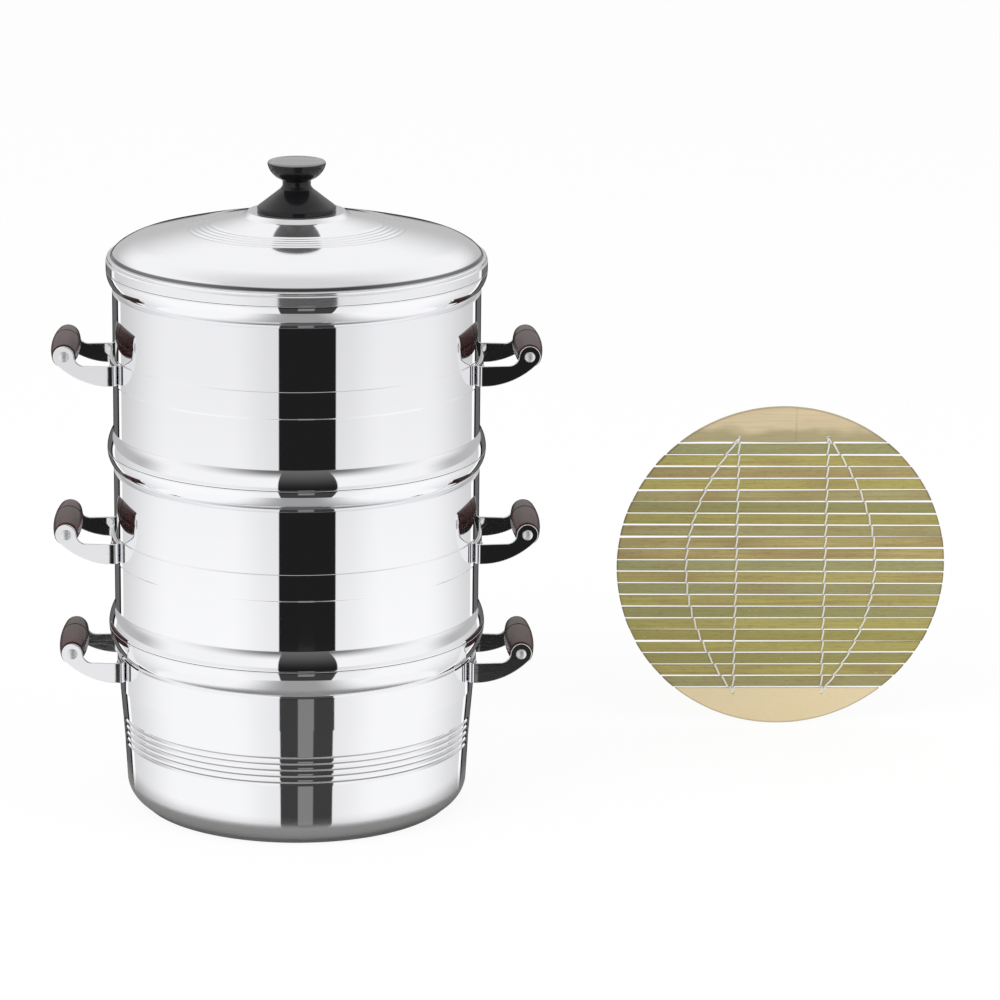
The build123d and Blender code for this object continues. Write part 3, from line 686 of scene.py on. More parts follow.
def slats_tree():
    """Slats side by side, their ends cut to the rack's circle, each a little different."""
    tree, nodes, given, out = new_tree(
        "Slats", ("Slats", "Int"), ("Radius", "Float"), ("Pitch", "Float"), ("Width", "Float"),
        ("Thickness", "Float"), ("Seed", "Int"), ("Paint", "Material"))
    number = nodes.value(given["Slats"])
    radius, pitch = nodes.value(given["Radius"]), nodes.value(given["Pitch"])
    width, thick = nodes.value(given["Width"]), nodes.value(given["Thickness"])
    line = nodes.node(
        "GeometryNodeMeshLine", (),
        {"Count": given["Slats"], "Start Location": nodes.vector(0.0, (number - 1) * pitch * -0.5, 0.0),
         "Offset": nodes.vector(0.0, pitch, 0.0)})
    slat = nodes.node(
        "GeometryNodeMeshCube", (),
        {"Size": (1.0, 1.0, 1.0), "Vertices X": 25, "Vertices Y": 7, "Vertices Z": 3})
    copies = nodes.node(
        "GeometryNodeInstanceOnPoints", (), {"Points": line.outputs[0], "Instance": slat.outputs[0]})
    index = nodes.node("GeometryNodeInputIndex").outputs[0]

    def draw(low, high, step):
        made = nodes.node(
            "FunctionNodeRandomValue", {"data_type": "FLOAT"},
            {2: low, 3: high, "ID": index, "Seed": nodes.value(given["Seed"]) + step})
        return made.outputs[1]

    held = copies.outputs[0]
    number_of = nodes.value(index) - (number - 1) * 0.5
    for name, value in (("slat_shade", draw(0.0, 1.0, 0)), ("slat_tone", draw(0.0, 1.0, 1)),
                        ("tilt", draw(-0.0045, 0.0045, 2)), ("wide", draw(0.96, 1.02, 3)),
                        ("slat_number", number_of)):
        held = nodes.node(
            "GeometryNodeStoreNamedAttribute", {"data_type": "FLOAT", "domain": "INSTANCE"},
            {"Geometry": held, "Name": name, "Value": value}).outputs[0]
    real = nodes.node("GeometryNodeRealizeInstances", (), {"Geometry": held}).outputs[0]

    def stored(name):
        found = nodes.node("GeometryNodeInputNamedAttribute", {"data_type": "FLOAT"}, {"Name": name})
        return nodes.value(found.outputs["Attribute"])

    x, y, z = nodes.split(nodes.node("GeometryNodeInputPosition").outputs[0])
    middle = stored("slat_number") * pitch
    side = y - middle
    across = middle + side * width * stored("wide")
    reach = nodes.math("SQRT", radius * radius - across * across)
    along = x * 2 * reach
    crown = thick * (z * (1 - side * side * 0.5))
    place = nodes.vector(along, across + along * stored("tilt"), crown)
    moved = nodes.node("GeometryNodeSetPosition", (), {"Geometry": real, "Position": place})
    marked = nodes.node(
        "GeometryNodeStoreNamedAttribute", {"data_type": "FLOAT_VECTOR", "domain": "POINT"},
        {"Geometry": moved.outputs[0], "Name": "rack_place",
         "Value": nodes.node("GeometryNodeInputPosition").outputs[0]})
    finish_tree(nodes, marked.outputs[0], given["Paint"], out)
    return tree


def thread_tree():
    """One thread of a twined string: over one slat and under the next, from hole to hole."""
    tree, nodes, given, out = new_tree(
        "Thread", ("Steps", "Int"), ("Reach", "Float"), ("Side", "Float"), ("Bow", "Float"), ("Pitch", "Float"),
        ("Depth", "Float"), ("Spread", "Float"), ("Radius", "Float"), ("Phase", "Float"), ("Paint", "Material"))
    line = nodes.node("GeometryNodeMeshLine", (), {"Count": given["Steps"]})
    index = nodes.value(nodes.node("GeometryNodeInputIndex").outputs[0])
    share = index / (nodes.value(given["Steps"]) - 1)
    reach, bow = nodes.value(given["Reach"]), nodes.value(given["Bow"])
    y = reach * (1 - share * 2)
    lean = 4 * share * (1 - share)
    phase = y / nodes.value(given["Pitch"]) * math.pi + nodes.value(given["Phase"])
    wave = nodes.math("COSINE", phase)
    over = nodes.math("SIGN", wave) * nodes.math("POWER", nodes.math("ABSOLUTE", wave), 0.45)
    x = nodes.value(given["Side"]) + bow * lean + nodes.math("SINE", phase) * nodes.value(given["Spread"])
    place = nodes.vector(x, y, over * nodes.value(given["Depth"]))
    moved = nodes.node("GeometryNodeSetPosition", (), {"Geometry": line.outputs[0], "Position": place})
    path = nodes.node("GeometryNodeMeshToCurve", (), {"Mesh": moved.outputs[0]})
    ring = nodes.node(
        "GeometryNodeCurvePrimitiveCircle", {"mode": "RADIUS"},
        {"Resolution": THREAD_SIDES, "Radius": given["Radius"]})
    length_at = nodes.node("GeometryNodeSplineParameter").outputs["Length"]
    marked = nodes.node(
        "GeometryNodeStoreNamedAttribute", {"data_type": "FLOAT", "domain": "POINT"},
        {"Geometry": path.outputs[0], "Name": "twist", "Value": nodes.value(length_at) * THREAD_TWIST})
    swept = nodes.node(
        "GeometryNodeCurveToMesh", (),
        {"Curve": marked.outputs[0], "Profile Curve": ring.outputs[0], "Fill Caps": True})
    finish_tree(nodes, swept.outputs[0], given["Paint"], out)
    return tree


def grown(name, source, tree, **values):
    """A plain mesh of what the tree makes from the source mesh, with the modifier gone."""
    holder = bpy.data.objects.new("holder", source)
    bpy.context.scene.collection.objects.link(holder)
    modifier = holder.modifiers.new("grow", "NODES")
    modifier.node_group = tree
    sockets = {s.name: s.identifier for s in tree.interface.items_tree if getattr(s, "in_out", "") == "INPUT"}
    for label, value in values.items():
        modifier[sockets[label.replace("_", " ")]] = value
    bpy.context.view_layer.update()
    depsgraph = bpy.context.evaluated_depsgraph_get()
    mesh = bpy.data.meshes.new_from_object(holder.evaluated_get(depsgraph), depsgraph=depsgraph)
    bpy.data.objects.remove(holder)
    mesh.name = name
    return mesh


def point_mesh(name, outline):
    mesh = bpy.data.meshes.new(name)
    mesh.from_pydata([(r, 0.0, z) for r, z in outline], [], [])
    return mesh


def tidy_normals(mesh, sharp=32.0):
    """Faces outwards, smooth where the surface is, sharp at real edges."""
    work = bmesh.new()
    work.from_mesh(mesh)
    bmesh.ops.recalc_face_normals(work, faces=work.faces)
    for face in work.faces:
        face.smooth = True
    work.to_mesh(mesh)
    work.free()
    mesh.set_sharp_from_angle(angle=math.radians(sharp))
    return mesh


def turned(name, outline, paint, turns):
    return tidy_normals(grown(name, point_mesh(name, outline), TREES["lathe"], Turns=turns, Paint=paint))


def placed(name, mesh, body, nodes, place=None):
    """Makes the finished piece from its mesh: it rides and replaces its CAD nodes."""
    if place:
        mesh.transform(place)
    piece = bpy.data.objects.new(name, mesh)
    piece.visible_glossy = body != "upper_rack"
    bpy.context.scene.collection.objects.link(piece)
    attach(piece, body)
    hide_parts(*nodes)
    return piece


def paint_node(node, paint):
    """Gives a CAD node that stays the better material."""
    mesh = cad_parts[node].data
    mesh.materials.clear()
    mesh.materials.append(paint)


TREES = {}
PAINTS = {}


def make_shared(settings):
    """The trees and materials that several pieces share."""
    TREES["lathe"], TREES["around"] = lathe_tree(), around_tree()
    TREES["slats"], TREES["thread"] = slats_tree(), thread_tree()
    c = settings.colours
    tone = list(c.aluminium)
    k = settings.lid
    # Radii of the painted shade in the groove where the dome meets the flange bead.
    crease_shade = (k.edge_r - 2.3 * MM, k.edge_r + 0.3 * MM)
    top = k.land_z + k.knob_h - k.knob_dish * 1.6
    PAINTS["wall"] = spun_aluminium("Polished wall", tone, c.wall_rough, 0.02)
    PAINTS["base"] = spun_aluminium("Polished base", [t * 0.98 for t in tone], c.wall_rough + 0.012, 0.03, 0.02)
    PAINTS["lid"] = spun_aluminium("Satin lid", [t * 0.985 for t in tone], c.lid_rough, 0.05, 0.03, crease_shade, 0.9)
    PAINTS["strap"] = strip_aluminium("Rolled strip", [t * 0.97 for t in tone], 0.03)
    PAINTS["fastener"] = strip_aluminium("Swaged aluminium", [t * 0.95 for t in tone], 0.42)
    # The knob's top is painted grey, a painted reflection, under a real clear coat.
    PAINTS["knob"] = moulded_resin("Black resin", list(c.knob_black), 0.06, 1.5, 1.38, (top, c.knob_top))
    PAINTS["grip"] = moulded_resin("Red-brown resin", list(c.grip_brown), 0.2, 1.6, 1.3)
    PAINTS["slat"] = bamboo_skin("Bamboo skin", c)
    PAINTS["board"] = bamboo_board("Planed bamboo", c)
    PAINTS["string"] = cotton("Twisted cotton", list(c.string_white))


def neck_of(v):
    """The neck under a rim bowl: its radius and how far below the seam it is."""
    turn = v.bowl_turn
    return v.seat_r - v.bowl_r + v.bowl_r * math.cos(turn), v.bowl_r * math.sin(turn)


def bowl(v, seam, inset, start, end, steps=14):
    """Part of a rim bowl's arc, set in by inset, with the angles in degrees up from outwards."""
    return arc((v.seat_r - v.bowl_r, seam), v.bowl_r - inset, start, end, steps)


def tier_outline(v, seam):
    top = seam + v.pitch
    neck_r, neck_drop = neck_of(v)
    turn = math.degrees(v.bowl_turn)
    spigot = v.sheet + v.spigot_gap
    out_turn = math.degrees(math.asin(v.spigot_depth / (v.bowl_r - spigot)))
    in_turn = math.degrees(math.asin((v.spigot_depth - v.sheet) / (v.bowl_r - spigot - v.sheet)))
    start = math.degrees(math.asin(v.gap / (v.bowl_r - spigot)))
    swell = v.seat_r - v.wall_r
    bulge_r = (v.bulge_h ** 2 + swell ** 2) / (2 * swell)
    low = math.degrees(math.asin(v.gap / bulge_r))
    high = math.degrees(math.asin(v.bulge_h / bulge_r))
    wall_in = v.wall_r - v.sheet
    return [
        (v.ledge_r, seam - v.spigot_depth),
        *bowl(v, seam, spigot, -out_turn, start, 8),
        *arc((v.seat_r - bulge_r, seam), bulge_r, low, high, 14),
        (v.wall_r, seam + v.band_low),
        (v.wall_r + v.band_proud, seam + v.band_low + v.band_proud),
        (v.wall_r + v.band_proud, seam + v.band_high - v.band_proud),
        (v.wall_r, seam + v.band_high),
        (v.wall_r, top - neck_drop - v.shoulder),
        (neck_r, top - neck_drop),
        *bowl(v, top, 0.0, -turn, 0.0),
        *bowl(v, top, v.sheet, 0.0, -turn),
        (neck_r - v.sheet, top - neck_drop),
        (wall_in, top - neck_drop - 2 * v.shoulder),
        (wall_in, seam + v.bulge_h),
        *bowl(v, seam, spigot + v.sheet, 0.0, -in_turn, 8),
        (v.ledge_r, seam - v.spigot_depth + v.sheet),
    ]


def base_outline(v):
    neck_r, _ = neck_of(v)
    seam = v.base_seam
    beads = []
    drop = (v.bead_top_r - v.bead_low_r) / v.beads
    for i in range(v.beads - 1, -1, -1):
        z, r = v.bead_top - i * v.bead_pitch, v.bead_top_r - i * drop
        beads.append((r - drop, z - v.bead_pitch * 0.97))
        beads.append((r - drop * 0.5 - v.bead_depth, z - v.bead_pitch * 0.62))
        beads.append((r - drop * 0.3, z - v.bead_pitch * 0.3))
    wall_top = seam - v.base_neck
    inner_r = v.base_top_r - v.sheet
    corner = (v.corner_mid_r, v.corner_mid_z)
    inner_corner = (v.corner_mid_r - v.sheet, v.corner_mid_z + v.sheet)
    neck = (neck_r - v.shoulder, wall_top + v.shoulder)
    return [
        (0.0, 0.0),
        (v.foot_r - v.foot_step, 0.0),
        *arc_through((v.foot_r, v.foot_h), corner, (v.corner_r, v.corner_z), 14),
        (v.bead_low_r - 0.2 * MM, v.bead_top - v.beads * v.bead_pitch - 4.0 * MM),
        *beads,
        (v.base_top_r, v.base_straight),
        (v.base_top_r, wall_top),
        *arc_through(neck, (v.rim_mid_r, seam - v.rim_mid_drop), (v.seat_r, seam), 14),
        *bowl(v, seam, v.sheet, 0.0, -math.degrees(v.bowl_turn)),
        (neck[0] - v.sheet, neck[1]),
        (inner_r, wall_top - v.shoulder),
        (inner_r, v.base_straight),
        (v.bead_low_r - v.bead_depth - v.sheet, v.corner_z * 2),
        *arc_through((v.corner_r - v.sheet, v.corner_z), inner_corner, (v.foot_r - v.foot_step, v.floor_t), 12),
        (0.0, v.floor_t),
    ]


def lid_outline(v, k):
    seam = v.base_seam + 2 * v.pitch
    flange_z = seam + k.skirt
    rings = []
    for i in range(k.rings, -1, -1):
        r, z = k.ring_r - i * k.ring_pitch, k.ring_z + i * k.ring_pitch * k.ring_fall
        rings.append((r, z))
        if i:
            half = k.ring_pitch / 2
            rings.append((r + half, z - half * k.ring_fall - k.ring_depth))
    inner_r, inner_z = rings[0]
    lip = v.sheet + v.spigot_gap
    start = math.degrees(math.asin(v.gap / (v.bowl_r - lip)))
    shoulder, roll = (k.shoulder_r, k.shoulder_z), (k.roll_r, k.roll_z)
    edge = (k.edge_r, flange_z + k.flange_h)
    bead = (k.flange_r - k.flange_h / 2, flange_z + k.flange_h / 2)
    slant = k.sheet * math.sqrt(0.5)
    return [
        (k.screw_r, k.land_z - k.sheet),
        (k.screw_r, k.land_z),
        (k.land_top_r + 0.6 * (k.land_r - k.land_top_r), k.land_z - 0.07 * k.land_h),
        (k.land_r, k.land_z - k.land_h),
        *rings[:-1],
        *arc_through(rings[-1], (k.dome_mid_r, k.dome_mid_z), shoulder, 16)[:-1],
        *arc_through(shoulder, (k.roll_mid_r, k.roll_mid_z), roll, 8)[:-1],
        *arc_through(roll, (k.edge_mid_r, k.edge_mid_z), edge, 8),
        *arc(bead, k.flange_h / 2, 80.0, -70.0, 8),
        (v.seat_r, flange_z - k.chamfer),
        (v.seat_r, seam + v.gap),
        *bowl(v, seam, lip, start, -22.0, 4),
        *bowl(v, seam, lip + k.sheet, -22.0, 0.0, 4),
        (k.edge_r - k.sheet, flange_z),
        (k.edge_mid_r - slant, k.edge_mid_z - slant),
        (k.roll_r - slant, k.roll_z - k.sheet),
        (k.shoulder_r, k.shoulder_z - k.sheet),
        (k.ring_r, k.ring_z - k.sheet - k.ring_depth),
        (inner_r, inner_z - k.sheet - k.ring_depth),
        (k.land_r, k.land_z - k.sheet - k.land_h),
        (k.land_top_r, k.land_z - k.sheet),
    ]


def knob_outline(k):
    z = k.land_z
    top = z + k.knob_h
    under = (k.knob_neck_r + 1.4 * MM, z + k.knob_neck_high + 1.3 * MM)
    cup = (k.knob_cap_r - 3.6 * MM, z + k.knob_cap_z - 7.6 * MM)
    side, brow = (k.knob_cap_r, z + k.knob_cap_z), (k.knob_cap_r - 0.5 * MM, top - 0.9 * MM)
    return [
        (k.screw_r, z),
        (k.knob_foot_r, z),
        (k.knob_foot_r, z + k.knob_foot_h),
        (k.knob_foot_r - k.knob_chamfer, z + k.knob_foot_h + k.knob_chamfer),
        (k.knob_flare_r, z + k.knob_flare_h),
        (k.knob_neck_r, z + k.knob_neck_low),
        (k.knob_neck_r, z + k.knob_neck_high),
        *arc_through(under, cup, side, 16),
        *arc_through(side, brow, (k.knob_top_r, top), 5)[1:],
        (k.knob_top_r - k.knob_dish, top - k.knob_dish * 0.35),
        (k.knob_top_r - 3 * k.knob_dish, top - k.knob_dish),
        (0.0, top - k.knob_dish),
        (0.0, z + k.knob_bore),
        (k.screw_r, z + k.knob_bore),
    ]


class STEAMER_OT_camera(bpy.types.Operator):
    """Sets the camera where the photograph was taken from"""

    bl_idname = "steamer.camera"
    bl_label = "Camera"

    def execute(self, context):
        data = bpy.data.cameras.new("camera")
        data.lens, data.sensor_width, data.shift_x = CAMERA_LENS, CAMERA_SENSOR, CAMERA_SHIFT
        data.clip_end = CAMERA_REACH
        camera = bpy.data.objects.new("camera", data)
        camera.location = CAMERA_PLACE
        camera.rotation_euler = (CAMERA_TILT, 0.0, 0.0)
        context.scene.collection.objects.link(camera)
        context.scene.camera = camera
        return {"FINISHED"}


class STEAMER_OT_vessels(bpy.types.Operator):
    """Spins the base pot and the two tiers"""

    bl_idname = "steamer.vessels"
    bl_label = "Vessels"

    def execute(self, context):
        v = context.scene.steamer.vessels
        outline = soften(base_outline(v), SPUN_EDGE)
        mesh = turned("base_pot_spun", outline, PAINTS["base"], v.turns)
        placed("base_pot_spun", mesh, "base", ["base_pot"])
        for i, level in enumerate(LEVELS[1:]):
            outline = soften(tier_outline(v, v.base_seam + i * v.pitch), SPUN_EDGE)
            mesh = turned(f"{level}_tier_spun", outline, PAINTS["wall"], v.turns)
            placed(f"{level}_tier_spun", mesh, f"{level}_tier", [f"{level}_tier"])
        return {"FINISHED"}


class STEAMER_OT_lid(bpy.types.Operator):
    """Spins the lid and turns its knob"""

    bl_idname = "steamer.lid"
    bl_label = "Lid and knob"

    def execute(self, context):
        v, k = context.scene.steamer.vessels, context.scene.steamer.lid
        mesh = turned("lid_spun", soften(lid_outline(v, k), LID_EDGE), PAINTS["lid"], v.turns)
        placed("lid_spun", mesh, "lid", ["lid"])
        mesh = turned("knob_turned", soften(knob_outline(k), SPUN_EDGE), PAINTS["knob"], KNOB_TURNS)
        placed("knob_turned", mesh, "lid", ["lid_knob"])
        for node in ("knob_washer", "knob_screw"):
            paint_node(node, PAINTS["fastener"])
        return {"FINISHED"}


def wall_radius(v, level):
    return v.base_top_r if level == "base" else v.wall_r + v.band_proud


def strap_height(v, h, level):
    if level == "base":
        return h.base_strap_z
    return v.base_seam + (LEVELS.index(level) - 1) * v.pitch + h.tier_strap_z


def body_of(level):
    return "base" if level == "base" else f"{level}_tier"


def strap_sides(h, wall_r):
    """Lower and upper edge of an arm from the eye's tip to the wall's bend, as a list of (x, low, high)."""
    half, out, up, eye = h.strap_h / 2, wall_r + h.eye_out, h.eye_up, h.eye_r
    run = math.sqrt((eye + h.eye_fillet) ** 2 - (half + h.eye_fillet - up) ** 2)
    fillet_x, fillet_z = out - run, half + h.eye_fillet
    turn = math.atan2(fillet_z - up, -run)
    under = math.radians(-50.0)
    edge = arc_through(
        (wall_r + h.strap_t, -half), (wall_r + h.curve_x, h.curve_up - half),
        (out + eye * math.cos(under), up + eye * math.sin(under)), ARM_EDGE_STEPS)

    def low(x):
        if x <= edge[0][0]:
            return -half
        if x >= edge[-1][0]:
            return up - math.sqrt(max(eye ** 2 - (x - out) ** 2, 0.0))
        for (x0, z0), (x1, z1) in zip(edge, edge[1:]):
            if x <= x1:
                return z0 + (z1 - z0) * (x - x0) / (x1 - x0)

    made = []
    for i in range(EYE_STEPS + 1):
        around = turn * i / EYE_STEPS
        x = out + eye * math.cos(around)
        made.append((x, low(x), up + eye * math.sin(around)))
    sweep = math.asin((made[-1][0] - fillet_x) / h.eye_fillet)
    for i in range(1, FILLET_STEPS + 1):
        around = sweep * (1 - i / FILLET_STEPS)
        x = fillet_x + h.eye_fillet * math.sin(around)
        made.append((x, low(x), fillet_z - h.eye_fillet * math.cos(around)))
    end = wall_r + h.strap_t + h.bend
    for i in range(1, ARM_STEPS + 1):
        x = fillet_x + (end - fillet_x) * i / ARM_STEPS
        made.append((x, low(x), half))
    return made


def strap_path(h, wall_r):
    """Where the strap's middle line runs in plan. Gives place(u, t): u along it, t across it."""
    middle_r = wall_r + h.strap_t / 2
    bend = h.bend + h.strap_t / 2
    eye_x = wall_r + h.eye_out
    wall_x = math.sqrt(wall_r ** 2 - h.arm_wall_y ** 2)
    lean = (h.arm_wall_y - h.arm_y) / (eye_x - wall_x)
    slope = math.sqrt(1 + lean * lean)

    def arm(x):
        return h.arm_y - h.strap_t / 2 * slope + lean * (eye_x - x)

    # The bend's centre, where its circle touches both the wall's circle and the arm.
    x = middle_r
    for _ in range(12):
        x = math.sqrt((middle_r + bend) ** 2 - (arm(x) - bend * slope) ** 2)
    centre = Vector((x, arm(x) - bend * slope))
    swing = math.atan2(centre.y, centre.x)
    first, last = swing + math.pi, math.atan2(1, lean)
    arc_end = middle_r * swing
    bend_end = arc_end + bend * (first - last)
    normal = Vector((lean, 1)) / slope
    start = centre + normal * bend

    def place(u, t):
        side, far = (1 if u >= 0 else -1), abs(u)
        if far <= arc_end:
            around = far / middle_r
            spot = Vector((math.cos(around), math.sin(around))) * (middle_r + t)
        elif far <= bend_end:
            around = first - (far - arc_end) / bend
            spot = centre + Vector((math.cos(around), math.sin(around))) * (bend - t)
        else:
            spot = start + Vector((1, -lean)) / slope * (far - bend_end) - normal * t
        return spot.x, spot.y * side

    def along(x):
        return bend_end + (x - start.x) * slope

    return place, along, arc_end, bend_end


def strap_mesh(h, wall_r):
    """A bent strap with its two eyes and rounded edges, on the +X side, level with Z 0."""
    place, along, arc_end, bend_end = strap_path(h, wall_r)
    half = h.strap_h / 2
    sides = [(along(x), low, high) for x, low, high in strap_sides(h, wall_r)]
    chain = [side for side in sides if side[0] > bend_end + 0.2 * MM]
    chain += [(bend_end - (bend_end - arc_end) * i / BEND_STEPS, -half, half) for i in range(BEND_STEPS + 1)]
    chain += [(arc_end * (1 - i / WALL_STEPS), -half, half) for i in range(1, WALL_STEPS + 1)]
    chain += [(-u, low, high) for u, low, high in reversed(chain[:-1])]
    inner = chain[1:-1]
    loop = [(chain[0][0], chain[0][1])] + [(u, low) for u, low, _ in inner]
    loop += [(chain[-1][0], chain[-1][1])] + [(u, high) for u, _, high in reversed(inner)]
    n = len(loop)
    rounding = ((1.8, 0.0), (1.0, 0.0), (0.3, 0.3), (0.0, 1.0))
    rings = [(inset * h.edge, h.strap_t / 2 - drop * h.edge) for inset, drop in rounding]
    rings += [(inset, -t) for inset, t in reversed(rings)]
    work = bmesh.new()
    made = []
    for inset, t in rings:
        row = []
        for i, here in enumerate(loop):
            tangent = Vector(loop[(i + 1) % n]) - Vector(loop[i - 1])
            inward = Vector((tangent.y, -tangent.x)).normalized() * inset
            u, z = here[0] + inward.x, here[1] + inward.y
            x, y = place(u, t)
            row.append(work.verts.new((x, y, z)))
        made.append(row)
    for first, second in zip(made, made[1:]):
        for i in range(n):
            work.faces.new((first[i - 1], first[i], second[i], second[i - 1]))
    for row in (made[0], made[-1]):
        for i in range(len(inner) + 1):
            corners = [row[i], row[i + 1], row[(n - i - 1) % n], row[(n - i) % n]]
            work.faces.new(list(dict.fromkeys(corners)))
    mesh = bpy.data.meshes.new("strap")
    work.to_mesh(mesh)
    work.free()
    return tidy_normals(mesh, 50.0)


def both_sides(name, one, level, paint, slot, node, **places):
    """Sets copies of a piece on both sides of a vessel, as one piece that stands for a node on each side."""
    where = {"Copies": 2, "Radius": 0.0, "Spread": 0.0, "Tilt_X": 0.0, "Tilt_Y": 0.0, "Turn": 0.0, **places}
    mesh = grown(name, one, TREES["around"], Paint=PAINTS[paint], **where)
    placed(name, mesh, body_of(level), [f"{level}_{side}_{node}" for side in SIDES])


class STEAMER_OT_straps(bpy.types.Operator):
    """Bends the handles' straps and sets one on each side of every vessel"""

    bl_idname = "steamer.straps"
    bl_label = "Handle straps"

    def execute(self, context):
        v, h = context.scene.steamer.vessels, context.scene.steamer.handles
        for level in LEVELS:
            both_sides(
                f"{level}_straps_bent", strap_mesh(h, wall_radius(v, level)), level, "strap", "strap",
                "handle_bracket", Height=strap_height(v, h, level), Turn=1.0)
        return {"FINISHED"}


def grip_outline(h):
    """Outline of the barrel, along its axis, with its ring groove."""
    half, end = h.grip_half, h.grip_half - 0.9 * MM
    barrel = arc_through((h.grip_end_r, end), (h.grip_mid_r, 0.0), (h.grip_end_r, -end), BARREL_STEPS)
    at_groove = h.grip_mid_r - (h.grip_mid_r - h.grip_end_r) * (h.groove_y / end) ** 2
    dips = ((-0.5, 0.0), (-0.2, h.groove_deep), (0.2, h.groove_deep), (0.5, 0.0))
    groove = [(at_groove - deep, -h.groove_y - place * h.groove_w) for place, deep in dips]
    clear = 0.3 * MM
    cap = [(h.rod_r, half), (h.grip_end_r - 0.8 * MM, half)]
    return [
        *cap,
        *[p for p in barrel if p[1] > groove[0][1] + clear],
        *groove,
        *[p for p in barrel if p[1] < groove[-1][1] - clear],
        *[(r, -z) for r, z in reversed(cap)],
    ]


class STEAMER_OT_grips(bpy.types.Operator):
    """Turns the grips and sets one on each side of every vessel"""

    bl_idname = "steamer.grips"
    bl_label = "Grips"

    def execute(self, context):
        v, h = context.scene.steamer.vessels, context.scene.steamer.handles
        one = turned("grip", soften(grip_outline(h), SPUN_EDGE), PAINTS["grip"], GRIP_TURNS)
        for level in LEVELS:
            both_sides(
                f"{level}_grips_turned", one, level, "grip", "brown_grip", "handle_grip",
                Radius=wall_radius(v, level) + h.eye_out, Height=strap_height(v, h, level) + h.eye_up,
                Tilt_X=math.pi / 2)
        return {"FINISHED"}


def dome(r, h, base, steps=8):
    """Outline of a domed head of that radius and height, from its edge to its middle."""
    return [(r * math.cos(t * math.pi / 2 / steps), base + h * math.sin(t * math.pi / 2 / steps))
            for t in range(steps)] + [(0.0, base + h)]


class STEAMER_OT_fasteners(bpy.types.Operator):
    """Makes the through rods and the wall rivets"""

    bl_idname = "steamer.fasteners"
    bl_label = "Rods and rivets"

    def execute(self, context):
        v, h = context.scene.steamer.vessels, context.scene.steamer.handles
        end = dome(h.head_r, h.head_h, h.seat_y)
        outline = [(r, -z) for r, z in reversed(end)]
        outline += [(h.rod_r, -h.seat_y), (h.rod_r, h.seat_y), *end]
        rod = turned("rod", outline, PAINTS["fastener"], ROD_TURNS)
        inside = -(v.sheet + v.band_proud)
        tail = inside - 1.3 * MM
        outline = [
            (0.0, tail), (h.rivet_head_r - 1.2 * MM, tail), (h.rivet_head_r, inside - 0.4 * MM),
            (h.rivet_head_r, inside), (h.rivet_r, inside), (h.rivet_r, h.strap_t),
            *dome(h.rivet_head_r, h.rivet_head_h, h.strap_t)]
        rivet = turned("rivet", outline, PAINTS["fastener"], RIVET_TURNS)
        for level in LEVELS:
            radius, height = wall_radius(v, level), strap_height(v, h, level)
            both_sides(
                f"{level}_rods_headed", rod, level, "fastener", "fastener", "grip_rod",
                Radius=radius + h.eye_out, Height=height + h.eye_up, Tilt_X=math.pi / 2)
            both_sides(
                f"{level}_rivets_domed", rivet, level, "fastener", "fastener", "bracket_rivets", Copies=4,
                Radius=radius, Height=height, Spread=math.asin(h.rivet_y / radius), Tilt_Y=math.pi / 2,
                Turn=1.0)
        return {"FINISHED"}


def rack_places(v, k):
    """Where the two racks are: one lies on the middle tier's ledge, one stands beside the pot."""
    low = v.base_seam - v.spigot_depth + v.sheet + v.gap + k.thick / 2
    standing = Matrix.Translation((k.shown_x, k.shown_y, k.radius)) @ Matrix.Rotation(math.pi / 2, 4, "X")
    return {"middle_rack": Matrix.Translation((0.0, 0.0, low)), "upper_rack": standing}


class STEAMER_OT_slats(bpy.types.Operator):
    """Lays the slats of both racks"""

    bl_idname = "steamer.slats"
    bl_label = "Slats"

    def execute(self, context):
        k = context.scene.steamer.racks
        for i, (rack, place) in enumerate(rack_places(context.scene.steamer.vessels, k).items()):
            mesh = grown(
                f"{rack}_slats_split", point_mesh("seed", [(0.0, 0.0)]), TREES["slats"], Slats=k.slats,
                Radius=k.radius, Pitch=k.pitch, Width=k.width, Thickness=k.thick, Seed=k.seed + 40 * i,
                Paint=PAINTS["slat"])
            tidy_normals(mesh, 40.0)
            placed(f"{rack}_slats_split", mesh, rack, [f"{rack}_slats"], place)
        return {"FINISHED"}


